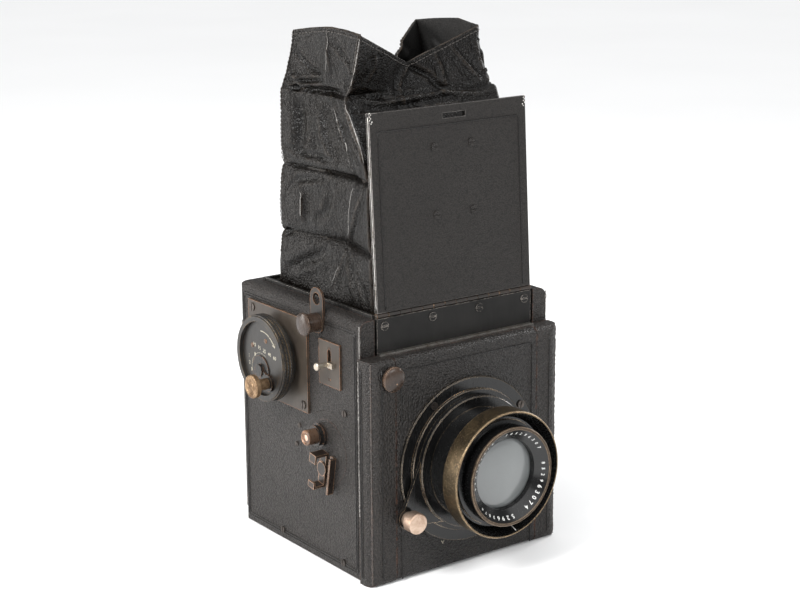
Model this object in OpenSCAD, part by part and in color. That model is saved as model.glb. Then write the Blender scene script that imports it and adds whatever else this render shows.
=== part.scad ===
// Box-form single-lens reflex plate camera with a folding leather viewing hood.
// Origin: the tripod bush's axis on the underside. +Z is up and the lens looks along -Y.

/* [Body] */
// Width of the main body
body_w = 112; // [106:1:140]
// Height of the main body
body_h = 128.2; // [124:0.2:160]
// Depth from the front face to the rear wall
body_d = 115.5; // [112:0.5:140]
// Thickness of the body's walls
wall_t = 5; // [4:0.5:6]
// Width of the rim beside the hood tray
rim_w = 8.4; // [7:0.2:12]
// Radius of the body's top edges
top_edge_r = 4.5; // [2:0.5:6]
// Radius of the body's rear upright edges
rear_edge_r = 3; // [1:0.5:5]

/* [Front block] */
// How far the front block stands out beyond each side of the body
front_lip = 1.5; // [0.5:0.5:3]
// Thickness of the front block
front_t = 9.6; // [8.6:0.2:14]
// Radius of the front block's upright edges
front_edge_r = 6; // [3:0.5:8]
// Radius of the front block's top and bottom edges
front_top_r = 3; // [1:0.5:4]
// Width of the sliding lens panel
panel_w = 85; // [80:1:96]
// Thickness of the sliding lens panel
panel_t = 5.15; // [4:0.05:6]
// Travel of the rising lens panel
rise = 12; // [0:1:14]

/* [Hood] */
// Thickness of the lid
lid_t = 2.4; // [1.5:0.1:3]
// Lean of the open lid from upright, in degrees
lid_lean = 3.4; // [2:0.1:6]
// Height of the leather hood above the lid's hinge
hood_h = 129; // [110:1:150]
// Thickness of the leather
leather_t = 1.2; // [0.8:0.1:2]

/* [Lens] */
// Height of the lens axis above the base
lens_z = 53.5; // [50:0.5:63]
// Outer radius of the lens barrel
barrel_r = 27.15; // [22:0.05:33]
// Distance from the panel's face to the front cell's rim
lens_len = 33.5; // [32:0.5:40]
// Length of the front cell's seat for a push-on filter
seat_len = 5; // [4:0.5:6]

/* [Controls] */
// Radius of the winding drum's rim
drum_r = 21.5; // [17.5:0.5:26]
// Side of the shutter plate along the body
plate_l = 53; // [48:1:54]
// Height of the shutter plate
plate_h = 47; // [46:1:48]
// Radius of the speed knob
speed_knob_r = 5.8; // [4:0.1:6]
// Radius of the release plunger
plunger_r = 3.8; // [3:0.1:4.5]
// Radius of the hole in the strap lugs
lug_hole_r = 2.9; // [2:0.1:3.2]

/* [Back] */
// Width of the plate
plate_w = 65; // [55:1:66]
// Length of the plate
plate_len = 90; // [80:1:90]
// Thickness of the plate holder
holder_t = 3.9; // [3.4:0.1:5]

/* [Tripod] */
// Radius of the tripod bush's thread bore
bush_bore_r = 3.97; // [3:0.01:5]
// Depth of the tripod bush's thread bore
bush_depth = 6; // [5:0.5:9]

/* [Hidden] */
$fn = 64;
fit = 0.1;      // gap between pieces that fit inside one another
run = 0.06;     // radial gap of a running fit
gap = 0.3;      // gap between pieces that pass each other
y_front = -body_d / 2;
y_back = body_d / 2;
y_seam = y_front + front_t;
x_wall = body_w / 2;
x_in = x_wall - wall_t;
front_w = body_w + 2 * front_lip;
front_h = body_h - 17.2;

// Hood tray, its lip and the lid's hinge
tray_w = body_w - 2 * rim_w;
hinge_t = 2.25;
tray_y0 = y_seam + hinge_t;
tray_y1 = y_back - 9.3;
lip_z = body_h + 1.7;
lip_t = 1.5;
tray_wall = 3.3;
hinge_r = 1.2;
hinge_y = y_seam + 0.95;
hinge_z = lip_z - 0.5;
ledge_z = hinge_z - 1.5;
plate_margin = 5.5; // above the plate's opening, under the hood tray
tray_z0 = lens_z + plate_len / 2 + plate_margin;
lid_w = tray_w - 2 * (lip_t + gap);
lid_len = tray_y1 - lip_t - gap - hinge_y;
lid_out = 1.05;
screen_t = 2;
screen_frame_h = 4;
screen_z = tray_z0 + 2;
hood_z0 = screen_z + screen_t + screen_frame_h + gap;

// Lens stack, as distances forward of the panel's face
flange_r = barrel_r + 13.85;
sleeve_r = barrel_r + fit;
focus_r = barrel_r + 3.05;
focus_d = [3.4, 6.4];
aperture_r = barrel_r + 3.85;
ring_d = [20.2, 30.4];
spigot_r = barrel_r - 1.35;
bore_r = barrel_r - 3.15;
cell_r = bore_r + 0.2;
glass_r = bore_r - 5.9;
collar_r = focus_r + 5;
barrel_rear = -9;
iris_d = 8;
iris_pitch = 0.45;
blade_t = 0.3;
blade_half_w = bore_r / 8;
iris_pivot_r = bore_r - 4;
blade_sweep = 80;
blade_count = 6;
focus_arm_r = flange_r + 3.8;
focus_arm_a = 207;
flange_screw_r = flange_r - 3.1;

// Left side controls
side_plate_t = 1.2;
drum_y = y_back - 36.5;
drum_z = min(body_h - 31.2, tray_z0 - 7);
shaft_r = 3;
drum_front = 10.6;
dial_d = 8.1;
dial_r = drum_r - 3.2;
dial_scale = drum_r / 21.5; // the arm and knob on the dial follow the drum
arm_dy = 1.5 * dial_scale;
arm_dz = -6.5 * dial_scale;
knob_dy = -6 * dial_scale;
knob_dz = -11.3 * dial_scale;
stud_y = y_front + 43.85;
stud_z = body_h - 6.7;
lug_w = 10.8;
lug_t = 1;
eye_z = 11.4;
selector_y = y_front + 33.7;
selector_z = body_h - 25.2;
pin_z = selector_z;
release_y = y_front + 42.35;
release_z = 65.6;
bulge_y = y_front + 36.7;
bulge_z = 58.6;
bulge_h = 0.8;
lever_y = y_front + 39.4;
lever_z = 49.5;
lever_tilt = 10;
screw_r = 1.7;
shank_r = 0.9;
side_screws_yz = [[y_front + 22.8, 81], [y_front + 25.4, 5], [y_front + 79.2, 5]];
side_pins_yz = [[y_front + 62, 65], [y_front + 64.9, 54.7]];
plate_screws_yz = [for (a = [-1, 1], b = [-1, 1])
    [drum_y + a * (plate_l / 2 - 4), drum_z + b * (plate_h / 2 - 3.6)]];

// Mirror, shutter and back
mirror_y = y_back - 19.75;
mirror_z = tray_z0 - 4;
mirror_len = mirror_y - y_seam - 3;
mirror_w = 87;
pivot_r = 1.5;
roller_r = 4.5;
roller_y = y_back - 11.35;
rollers_z = [wall_t + roller_r + gap, tray_z0 - roller_r - gap];
frame_t = 8.5;
frame_w = 100;
frame_z = [3, tray_z0];
holder_w = plate_w + 7;
holder_y = y_back + 2.65;
holder_z0 = lens_z - plate_len / 2 - 1;

// ---- placing helpers ----

// Puts the children on the left face, with their +Z pointing out and their +X pointing up.
module on_left(y, z) {
    translate([-x_wall, y, z]) rotate([0, -90, 0]) children();
}

// The same on the right face.
module on_right(y, z) {
    mirror([1, 0, 0]) on_left(y, z) children();
}

// Puts the children on the front face, with their +Z pointing forward and their +Y pointing up.
module on_front(x, z) {
    translate([x, y_front, z]) rotate([90, 0, 0]) children();
}

// Turns an outline of [radius, distance forward] about the lens axis.
module lens_turn(outline) {
    on_front(0, lens_z) rotate_extrude() polygon(outline);
}

// A box given by its two corners.
module block(a, b) {
    translate(a) cube(b - a);
}

// A rectangle from x0 to x1 and y0 to y1, its four corners rounded by the radii in r:
// lower left, lower right, upper right, upper left. A radius of 0 leaves the corner sharp.
module rounded(x0, y0, x1, y1, r) {
    corners = [[x0, y0, 1, 1], [x1, y0, -1, 1], [x1, y1, -1, -1], [x0, y1, 1, -1]];
    difference() {
        translate([x0, y0]) square([x1 - x0, y1 - y0]);
        for (i = [0:3]) {
            if (r[i] > 0) {
                translate([corners[i][0], corners[i][1]])
                    scale_sign(corners[i][2], corners[i][3]) corner_cut(r[i]);
            }
        }
    }
}

// Mirrors the children into the quadrant given by the two signs.
module scale_sign(sx, sy) {
    mirror([sx < 0 ? 1 : 0, 0, 0]) mirror([0, sy < 0 ? 1 : 0, 0]) children();
}

// What rounding takes off a corner at the origin.
module corner_cut(r) {
    difference() {
        translate([-1, -1]) square(r + 1);
        translate([r, r]) circle(r);
    }
}

// Extrudes an outline of [y, z] along X, centred.
module along_x(w) {
    rotate([90, 0, 90]) linear_extrude(w, center = true) children();
}

// A slotted screw standing on z = 0, its head upward and its shank below.
module screw(r, h, len) {
    difference() {
        cylinder(r = r, h = h);
        translate([-r, -0.3, h - 0.4]) cube([2 * r, 0.6, 1]);
    }
    translate([0, 0, -len]) cylinder(r = shank_r, h = len);
}

// The hole for such a screw's shank.
module screw_hole(len) {
    translate([0, 0, -len - fit]) cylinder(r = shank_r + fit, h = len + 2);
}

// ---- body ----

module body_outline() {
    intersection() {
        linear_extrude(body_h)
            rounded(-x_wall, y_seam, x_wall, y_back, [0, 0, rear_edge_r, rear_edge_r]);
        translate([0, y_back, 0]) rotate([90, 0, 0]) linear_extrude(body_d)
            rounded(-x_wall, 0, x_wall, body_h, [1, 1, top_edge_r, top_edge_r]);
        along_x(body_w) rounded(y_seam, 0, y_back, body_h, [0, 1, top_edge_r, 0]);
    }
}

module plunger_hole() {
    on_left(release_y, release_z) translate([0, 0, -wall_t - 1])
        cylinder(r = plunger_r + run, h = wall_t + 6);
}

module body_shell() {
    color("#1d1a17") difference() {
        union() {
            body_outline();
            on_left(bulge_y, bulge_z) translate([0, 0, -1]) cylinder(r = 16, h = bulge_h + 1);
        }
        // mirror chamber, open at the front and at the base
        block([-x_in, y_seam - 1, -1], [x_in, y_back - wall_t, tray_z0]);
        // well for the hood tray
        block([-tray_w / 2 - fit, y_seam - 1, tray_z0 - 1], [tray_w / 2 + fit, tray_y1 + fit, body_h + 1]);
        // light opening in the rear wall
        block([-plate_w / 2 - 3, y_back - wall_t - 1, lens_z - plate_len / 2],
            [plate_w / 2 + 3, y_back + 1, lens_z + plate_len / 2]);
        plunger_hole();
        on_left(drum_y, drum_z) translate([0, 0, -wall_t - 1]) cylinder(r = shaft_r + run, h = wall_t + 2);
        on_left(selector_y, pin_z) block([-2.7, -1.7, -wall_t - 1], [7.3, 1.7, 1]);
        // pocket for the selector pin's foot
        on_left(selector_y, pin_z) block([-5, -4, -rim_w], [9, 4, -wall_t]);
        for (z = rollers_z) {
            translate([0, roller_y, z]) rotate([0, 90, 0])
                cylinder(r = pivot_r + run, h = 2 * x_in + 5, center = true);
        }
        for (p = concat(side_screws_yz, side_pins_yz)) {
            on_left(p[0], p[1]) screw_hole(4);
            on_right(p[0], p[1]) screw_hole(4);
        }
        for (p = plate_screws_yz) {
            on_left(p[0], p[1]) screw_hole(3);
        }
        for (a = [-1, 1], z = [frame_z[0] + 4, frame_z[1] - 4]) {
            translate([a * (frame_w / 2 - 4), y_back - 4, z]) rotate([-90, 0, 0])
                cylinder(r = shank_r + fit, h = 6);
        }
    }
}

module base_board() {
    color("#221d19") difference() {
        block([-x_in, y_seam, 0], [x_in, y_back - wall_t, wall_t]);
        translate([0, 0, -1]) cylinder(r = bush_bore_r + 4.1, h = wall_t + 2);
    }
}

module tripod_bush() {
    color("#b08d4a") difference() {
        union() {
            cylinder(r = bush_bore_r + 4, h = wall_t);
            translate([0, 0, wall_t]) cylinder(r = bush_bore_r + 8, h = bush_depth + 1.5 - wall_t);
        }
        translate([0, 0, -1]) cylinder(r = bush_bore_r, h = bush_depth + 1);
    }
}

// ---- front block ----

module front_outline(z0) {
    intersection() {
        translate([0, 0, z0]) linear_extrude(front_h - z0)
            rounded(-front_w / 2, y_front, front_w / 2, y_seam, [front_edge_r, front_edge_r, 0, 0]);
        along_x(front_w) rounded(y_front, z0, y_seam, front_h, [front_top_r, 0, 0, front_top_r]);
    }
}

// Section of the panel's channel: g is the gap round the panel.
module panel_section(g) {
    translate([-panel_w / 2 - g, y_front - g]) square([panel_w + 2 * g, panel_t + 2 * g]);
    translate([-panel_w / 2 - 1.3 - g, y_front + 2.5 - g]) square([panel_w + 2.6 + 2 * g, 1.5 + 2 * g]);
}

module front_frame() {
    color("#1d1a17") difference() {
        front_outline(0);
        translate([0, 0, -1]) linear_extrude(front_h + 2) panel_section(gap / 2);
        translate([-panel_w / 2 - gap, y_front - 1, -1]) cube([panel_w + 2 * gap, 3, front_h + 2]);
        for (z = [lens_z, lens_z + rise]) {
            on_front(0, z) translate([0, 0, -front_t - 1]) cylinder(r = barrel_r + 1.5, h = front_t);
        }
        block([-barrel_r - 1.5, y_front + panel_t, lens_z], [barrel_r + 1.5, y_seam + 1, lens_z + rise]);
        on_front(-panel_w / 2 - 2.7, front_h - 9.1) translate([0, 0, -7]) cylinder(r = 1.2 + run, h = 8);
    }
}

module ledge_strip() {
    color("#8f8a80")
        block([-tray_w / 2 + 1.4, y_seam - 2.4, front_h], [tray_w / 2 - 1.4, y_seam, front_h + 0.8]);
}

module lens_panel() {
    color("#1d1a17") difference() {
        intersection() {
            front_outline(0.5);
            linear_extrude(front_h) panel_section(0);
        }
        on_front(0, lens_z) translate([0, 0, -panel_t - 1]) cylinder(r = focus_r + 3.5, h = panel_t + 2);
        for (a = [35:90:305]) {
            on_front(0, lens_z) rotate(a) translate([flange_screw_r, 0, 0]) screw_hole(3);
        }
    }
}

module panel_lock_knob() {
    color("#9a6a3a") on_front(-panel_w / 2 - 2.7, front_h - 9.1) {
        translate([0, 0, -6.5]) cylinder(r = 1.2, h = 7.5);
        rotate_extrude() polygon(concat([[0, 0.5], [5.2, 0.5], [6, 1.2], [6, 2.3]],
            [for (a = [0:10:90]) [5.6 * cos(a), 2.6 + 1.4 * sin(a)]]));
    }
}

// ---- hood ----

hinge_board_w = tray_w - 2.8;

module hinge_board() {
    color("#1b1b1a") difference() {
        block([-hinge_board_w / 2, y_seam, tray_z0],
            [hinge_board_w / 2, y_seam + hinge_t, hinge_z - hinge_r - 0.05]);
        for (x = [-42, -14, 14, 42]) {
            translate([x, y_seam, body_h - 3.7]) rotate([90, 0, 0]) screw_hole(1.8);
        }
    }
}

module hinge_board_screws() {
    color("#2a2725") for (x = [-42, -14, 14, 42]) {
        translate([x, y_seam, body_h - 3.7]) rotate([90, 0, 0]) screw(2.1, 0.5, 1.7);
    }
}

// Knuckles of the long hinge: the even ones belong to the board and the odd ones to the lid.
knuckles = 14;

module knuckle_row(odd) {
    pitch = hinge_board_w / knuckles;
    for (i = [0:knuckles - 1]) {
        if (i % 2 == odd) {
            translate([-hinge_board_w / 2 + i * pitch + 0.15, hinge_y, hinge_z]) rotate([0, 90, 0])
                difference() {
                    cylinder(r = hinge_r, h = pitch - 0.3);
                    translate([0, 0, -1]) cylinder(r = 0.55, h = pitch + 2);
                }
        }
    }
}

module hinge_leaf_fixed() {
    color("#8a6136") knuckle_row(0);
}

module hinge_leaf_lid() {
    color("#8a6136") knuckle_row(1);
}

module hinge_pin() {
    color("#8f8a80") translate([0, hinge_y, hinge_z]) rotate([0, 90, 0])
        cylinder(r = 0.5, h = hinge_board_w, center = true);
}

// The tray's corners are square; its lip stands round the closed lid.
module hood_tray() {
    color("#191919") difference() {
        block([-tray_w / 2, tray_y0, tray_z0], [tray_w / 2, tray_y1, lip_z]);
        block([-tray_w / 2 + lip_t, tray_y0 - 1, ledge_z],
            [tray_w / 2 - lip_t, tray_y1 - lip_t, lip_z + 1]);
        block([-tray_w / 2 + tray_wall, tray_y0 + tray_wall, screen_z],
            [tray_w / 2 - tray_wall, tray_y1 - tray_wall, lip_z + 1]);
        block([-tray_w / 2 + 7, tray_y0 + 7, tray_z0 - 1], [tray_w / 2 - 7, tray_y1 - 7, lip_z]);
    }
}

module screen_plate(z0, z1) {
    block([-tray_w / 2 + tray_wall + fit, tray_y0 + tray_wall + fit, z0],
        [tray_w / 2 - tray_wall - fit, tray_y1 - tray_wall - fit, z1]);
}

module focusing_screen() {
    color("#cfd6d6") screen_plate(screen_z, screen_z + screen_t);
}

module screen_frame() {
    color("#2b2a28") difference() {
        screen_plate(screen_z + screen_t, screen_z + screen_t + screen_frame_h);
        block([-tray_w / 2 + 7, tray_y0 + 7, screen_z], [tray_w / 2 - 7, tray_y1 - 7, lip_z]);
    }
}

// One ring of the hood: half-width w, front y0, rear y1, corner radius r.
function ring(z, w, y0, y1, r) = [for (q = [0:3], s = [0:4])
    let (a = q * 90 + s * 22.5, cx = (q == 0 || q == 3) ? w - r : r - w, cy = q < 2 ? y1 - r : y0 + r)
    [cx + r * cos(a), cy + r * sin(a), z]];

// Height up the hood, from the hinge (0) to the rim (1), and the leaning lid's inner face there.
function hood_at(t) = hinge_z + t * hood_h;
function lid_face(z) = hinge_y + lid_t - lid_out + 1 + max(0, z - hinge_z) * tan(lid_lean);

hood_rear = tray_y1 - tray_wall - 1;
hood_front = tray_y0 + tray_wall + 0.5;
hood_w = tray_w / 2 - 1.9;
// [height, half-width, front, rear] of each ring
hood_rings = [
    [hood_z0, tray_w / 2 - tray_wall - 0.6, hood_front, hood_rear],
    [ledge_z - 0.6, tray_w / 2 - tray_wall - 0.5, hood_front, hood_rear - 7],
    [hood_at(0.03), hood_w, lid_face(hood_at(0.03)), hood_rear - 10],
    [hood_at(0.2), hood_w, lid_face(hood_at(0.2)), hood_rear - 12],
    [hood_at(0.47), hood_w - 0.6, lid_face(hood_at(0.47)), hood_rear - 14.5],
    [hood_at(0.74), hood_w - 0.3, lid_face(hood_at(0.74)), hood_rear - 16],
    [hood_at(0.78), hood_w - 3.5, lid_face(hood_at(0.78)) + 6, hood_rear - 17],
    [hood_at(1), hood_w - 5, lid_face(hood_at(0.72)) + 4, hood_rear - 15]];

module leather_hood() {
    n = len(ring(0, 10, -10, 10, 2));
    m = len(hood_rings);
    t = leather_t;
    outer = [for (h = hood_rings) each ring(h[0], h[1], h[2], h[3], 5)];
    inner = [for (h = hood_rings) each ring(h[0], h[1] - t, h[2] + t, h[3] - t, 5 - t)];
    side = [for (k = [0:m - 2], i = [0:n - 1]) let (a = k * n + i, b = k * n + (i + 1) % n)
        each [[a, a + n, b], [b, a + n, b + n]]];
    lining = [for (f = side) [f[0] + m * n, f[2] + m * n, f[1] + m * n]];
    rims = [for (k = [0, m - 1], i = [0:n - 1])
        let (a = k * n + i, b = k * n + (i + 1) % n, c = a + m * n, d = b + m * n)
        each (k == 0 ? [[a, b, c], [b, d, c]] : [[a, c, b], [b, c, d]])];
    color("#26211e") polyhedron(points = concat(outer, inner), faces = concat(side, lining, rims));
}

module leaning() {
    translate([0, hinge_y, hinge_z]) rotate([-lid_lean, 0, 0]) translate([0, -hinge_y, -hinge_z])
        children();
}

lid_screws_xz = [for (x = [-9.5, 12.5], z = [43, 75]) [x, hinge_z + z]];

module lid() {
    color("#1b1b1a") difference() {
        leaning() difference() {
            block([-lid_w / 2, hinge_y - lid_out, hinge_z + 1.35],
                [lid_w / 2, hinge_y - lid_out + lid_t, hinge_z + lid_len]);
            // finger slot
            block([-4.2, hinge_y - lid_out - 1, hinge_z + lid_len - 6.2],
                [9.4, hinge_y + lid_t + 1, hinge_z + lid_len - 3.6]);
            for (p = lid_screws_xz) {
                translate([p[0], hinge_y - lid_out, p[1]]) rotate([90, 0, 0]) screw_hole(1.8);
            }
        }
    }
}

module lid_screws() {
    color("#2a2725") leaning() for (p = lid_screws_xz) {
        translate([p[0], hinge_y - lid_out, p[1]]) rotate([90, 0, 0]) screw(2, 0.4, 1.7);
    }
}

// ---- left side ----

module shutter_plate() {
    color("#2a2623") difference() {
        on_left(drum_y, drum_z) translate([-plate_h / 2, -plate_l / 2, 0])
            cube([plate_h, plate_l, side_plate_t]);
        on_left(drum_y, drum_z) translate([0, 0, -1]) cylinder(r = shaft_r + run, h = side_plate_t + 2);
        for (p = plate_screws_yz) {
            on_left(p[0], p[1]) screw_hole(3);
        }
    }
}

module side_screws() {
    color("#3a3029") {
        for (p = side_screws_yz) {
            on_left(p[0], p[1]) screw(screw_r, 0.6, 3.5);
            on_right(p[0], p[1]) screw(screw_r, 0.6, 3.5);
        }
        for (p = side_pins_yz) {
            on_left(p[0], p[1]) screw(1.2, 0.5, 3.5);
            on_right(p[0], p[1]) screw(1.2, 0.5, 3.5);
        }
        for (p = plate_screws_yz) {
            on_left(p[0], p[1]) translate([0, 0, side_plate_t]) screw(2.1, 0.5, 3.5);
        }
    }
}

// Turns an outline of [radius, distance out from the plate] about the drum's axis.
module drum_turn(outline) {
    on_left(drum_y, drum_z) translate([0, 0, side_plate_t]) rotate_extrude() polygon(outline);
}

module winding_drum() {
    band = (drum_front - 4.6 - 0.9) / 3;
    color("#24211f") drum_turn(concat([[shaft_r + run, gap], [dial_r - 1.3, gap], [dial_r - 1.3, 4.6],
        [drum_r - 0.4, 4.6]],
        [for (k = [0:2]) each [[drum_r, 4.9 + k * band], [drum_r, 4.7 + (k + 1) * band],
            [drum_r - 0.45, 4.8 + (k + 1) * band]]],
        [[drum_r - 0.6, drum_front], [dial_r + 0.2, drum_front], [dial_r + 0.2, dial_d],
            [shaft_r + run, dial_d]]));
}

module winding_shaft() {
    color("#8f8a80") on_left(drum_y, drum_z) {
        translate([0, 0, -wall_t - 5]) cylinder(r = shaft_r, h = wall_t + 5 + side_plate_t + dial_d);
        translate([0, 0, -wall_t - 3]) difference() {
            cylinder(r = 6.5, h = 2);
            for (i = [0:11]) {
                rotate(i * 30) translate([5.7, 0, -1]) rotate(20) cube([3, 1.4, 4]);
            }
        }
    }
}

module dial_face() {
    color("#2c2a28") drum_turn([[0, dial_d], [dial_r, dial_d], [dial_r, dial_d + 0.5], [0, dial_d + 0.5]]);
}

module at_arm() {
    on_left(drum_y + arm_dy, drum_z + arm_dz) translate([0, 0, side_plate_t + dial_d + 0.5]) children();
}

arm_x = knob_dz - arm_dz;
arm_y = knob_dy - arm_dy;
arm_len = norm([arm_x, arm_y]);
arm_turn = atan2(arm_y, arm_x);

module speed_arm() {
    color("#211f1d") at_arm() difference() {
        union() {
            translate([0, 0, fit]) cylinder(r = 7.4 * dial_scale, h = 0.5);
            rotate(arm_turn) translate([0, -2.6, fit]) cube([arm_len, 5.2, 1.3]);
            translate([0, 0, fit]) cylinder(r = 3.2, h = 1.9);
            rotate(arm_turn) translate([arm_len, 0, fit]) cylinder(r = 4.2 * dial_scale, h = 1.3);
        }
        rotate(arm_turn) translate([arm_len, 0, -1]) cylinder(r = 1.6 + run, h = 4);
    }
}

module speed_knob() {
    color("#b98f5a") at_arm() rotate(arm_turn) translate([arm_len, 0, 0]) {
        translate([0, 0, 0.2]) cylinder(r = 1.6, h = 2);
        rotate_extrude() polygon([[0, 1.7], [2.8, 1.7], [2.8, 7.6], [speed_knob_r - 0.6, 7.9],
            [speed_knob_r, 8.4], [speed_knob_r, 10.6], [speed_knob_r - 0.5, 11], [4.2, 11], [4, 10.7],
            [2.2, 10.7], [2, 11], [0, 11]]);
    }
}

module strap_stud() {
    on_left(stud_y, stud_z) {
        translate([0, 0, lug_t]) cylinder(r = 4.6, h = 7);
        translate([0, 0, lug_t + 7]) rotate_extrude()
            polygon(concat([[0, 0], [5.4, 0], [5.7, 0.6]],
                [for (a = [0:15:90]) [5.6 * cos(a), 1 + 1.3 * sin(a)]]));
    }
}

module strap_studs() {
    color("#6b5a49") {
        strap_stud();
        mirror([1, 0, 0]) strap_stud();
    }
}

module strap_lug() {
    on_left(stud_y, stud_z) difference() {
        union() {
            cylinder(r = lug_w / 2, h = lug_t);
            translate([eye_z, 0, 0]) cylinder(r = lug_w / 2, h = lug_t);
            translate([0, -lug_w / 2, 0]) cube([eye_z, lug_w, lug_t]);
        }
        translate([eye_z, 0, -1]) cylinder(r = lug_hole_r, h = lug_t + 2);
    }
}

module strap_lugs() {
    color("#23201e") {
        strap_lug();
        mirror([1, 0, 0]) strap_lug();
    }
}

module selector_plate() {
    color("#4a4038") on_left(selector_y, selector_z) difference() {
        translate([-11, -8.8, 0]) cube([22, 17.6, 1]);
        translate([-1.2, 0, -1]) cylinder(r = 1.4, h = 3);
        translate([5.7, 0, -1]) cylinder(r = 1.4, h = 3);
        translate([-1.2, -1.4, -1]) cube([6.9, 2.8, 3]);
    }
}

module selector_pin() {
    color("#c9bfae") on_left(selector_y, pin_z) {
        translate([0, 0, -wall_t - 2]) cylinder(r = 1.25, h = wall_t + 9.4);
        translate([0, 0, 7.4]) rotate_extrude() polygon([[0, 0], [1.7, 0], [1.9, 0.3], [1.9, 1],
            [1.5, 1.4], [0, 1.4]]);
        translate([-1.3, -4.6, 1 + fit]) cube([2.6, 4.6, 1.5]);
        translate([0, 0, -wall_t - 2]) cylinder(r = 2.6, h = 1.6);
    }
}

module release_boss() {
    color("#1c1a19") on_left(release_y, release_z) translate([0, 0, bulge_h]) difference() {
        union() {
            cylinder(r = plunger_r + 1.9, h = 1.2);
            cylinder(r = plunger_r + 1.2, h = 3.6);
        }
        translate([0, 0, -1]) cylinder(r = plunger_r + run, h = 6);
    }
}

module release_plunger() {
    color("#2a221b") on_left(release_y, release_z) {
        translate([0, 0, -wall_t + 0.5]) rotate_extrude() polygon([[0, 0], [plunger_r, 0],
            [plunger_r, wall_t + 9],
            [plunger_r - 0.4, wall_t + 9.4], [plunger_r - 0.9, wall_t + 9.4],
                [plunger_r - 1.3, wall_t + 8.9],
            [0, wall_t + 8.7]]);
        translate([0, 0, -wall_t - 1.1]) cylinder(r = 2.2, h = 2);
        translate([0, 0, -wall_t - 1.1]) cylinder(r = plunger_r + 1, h = 1);
    }
}

// The lever's web stands just off the body, with a turned-out tab at each end.
module at_lever() {
    on_left(lever_y, lever_z) translate([0, 0, bulge_h]) rotate(-lever_tilt) children();
}

module release_lever() {
    color("#3a2f26") at_lever() {
        translate([-9, -2.5, gap]) cube([18, 5, 1.2]);
        translate([0, 0, gap]) cylinder(r = 3.6, h = 1.8);
        translate([7.8, -2.5, gap]) cube([1.2, 5, 7.5]);
        translate([4.6, -2.5, 6.6 + gap]) cube([4.4, 5, 0.9]);
        translate([-9, -2.5, gap]) cube([1.2, 5, 7]);
        translate([-9, -2.5, 6.1 + gap]) cube([3.2, 5, 0.9]);
    }
}

module lever_guard() {
    color("#4c3c2e") at_lever() {
        translate([-10, -8.6, 0]) cube([19, 1.1, 3.4]);
        translate([-10, -8.6, 0]) cube([19, 3.6, 0.9]);
    }
}

// ---- lens ----

module lens_flange() {
    rear = focus_r + 3.3;
    color("#1a1a1a") difference() {
        lens_turn([[focus_r + run, -4], [rear, -4], [rear, 0], [flange_r, 0], [flange_r, 1.2],
            [flange_r - 0.4, 1.6],
            [collar_r, 1.6], [collar_r, 2.8], [collar_r - 0.3, 3.1], [focus_r + run, 3.1]]);
        for (a = [35:90:305]) {
            on_front(0, lens_z) rotate(a) translate([flange_screw_r, 0, 0]) screw_hole(3);
        }
    }
}

module flange_screws() {
    color("#3a322b") for (a = [35:90:305]) {
        on_front(0, lens_z) rotate(a) translate([flange_screw_r, 0, 1.6]) rotate(40) screw(1.9, 0.8, 4.4);
    }
}

module focus_ring() {
    arm_tip = focus_arm_r;
    rim_r = focus_r + 2.4;
    color("#1a1a1a") {
        lens_turn([[sleeve_r, -4], [focus_r, -4], [focus_r, focus_d[0]], [rim_r, focus_d[0]],
            [rim_r, focus_d[1] - 0.4], [rim_r - 0.4, focus_d[1]], [sleeve_r, focus_d[1]]]);
        on_front(0, lens_z) rotate(focus_arm_a) translate([0, 0, focus_d[0]]) difference() {
            union() {
                linear_extrude(1.6) polygon([[rim_r * 0.675, -rim_r * 0.706], [arm_tip, -4.6],
                    [arm_tip, 4.6],
                    [rim_r * 0.89, rim_r * 0.46]]);
                translate([arm_tip, 0, 0]) cylinder(r = 5, h = 1.6);
            }
            translate([0, 0, -1]) cylinder(r = focus_r + 0.8, h = 4);
            translate([arm_tip, 0, -1]) cylinder(r = 1.5 + run, h = 4);
        }
    }
}

module focus_knob() {
    color("#c99a80") on_front(0, lens_z) rotate(focus_arm_a) translate([focus_arm_r, 0, focus_d[0]]) {
        translate([0, 0, 0.1]) cylinder(r = 1.5, h = 2);
        rotate_extrude() polygon([[0, 1.6], [3.6, 1.6], [3.6, 4], [4.7, 4.4], [5.1, 4.9], [5.1, 9.9],
            [4.6, 10.4], [0, 10.4]]);
    }
}

module lens_barrel() {
    color("#161616") lens_turn([[bore_r, barrel_rear], [barrel_r, barrel_rear],
        [barrel_r, ring_d[0] - 0.25],
        [spigot_r, ring_d[0] - 0.25], [spigot_r, ring_d[0] + 3.9], [bore_r, ring_d[0] + 3.9]]);
}

module aperture_ring() {
    color("#3b352c") lens_turn([[spigot_r + run, ring_d[0]], [aperture_r - 0.3, ring_d[0]],
        [aperture_r, ring_d[0] + 0.3],
        [aperture_r, ring_d[1] - 0.4], [aperture_r - 0.3, ring_d[1]], [aperture_r - 0.9, ring_d[1]],
        [spigot_r + 0.9, ring_d[0] + 3.6], [spigot_r + run, ring_d[0] + 3.6]]);
}

module front_cell() {
    seat = lens_len - 7;
    color("#191919") lens_turn([[glass_r + 0.3, 13], [bore_r - run, 13], [bore_r - run, 24.4],
        [spigot_r - 0.2, 24.4],
        [spigot_r - 0.2, 25.2], [cell_r - 0.3, 25.6], [cell_r - 0.3, lens_len - seat_len - 0.3],
        [cell_r, lens_len - seat_len - 0.3], [cell_r, lens_len - 0.3], [cell_r - 0.3, lens_len],
        [cell_r - 1.4, lens_len], [glass_r - 0.7, lens_len - 4.8], [glass_r - 1.2, seat],
            [glass_r + 0.3, seat - 0.5]]);
}

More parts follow.
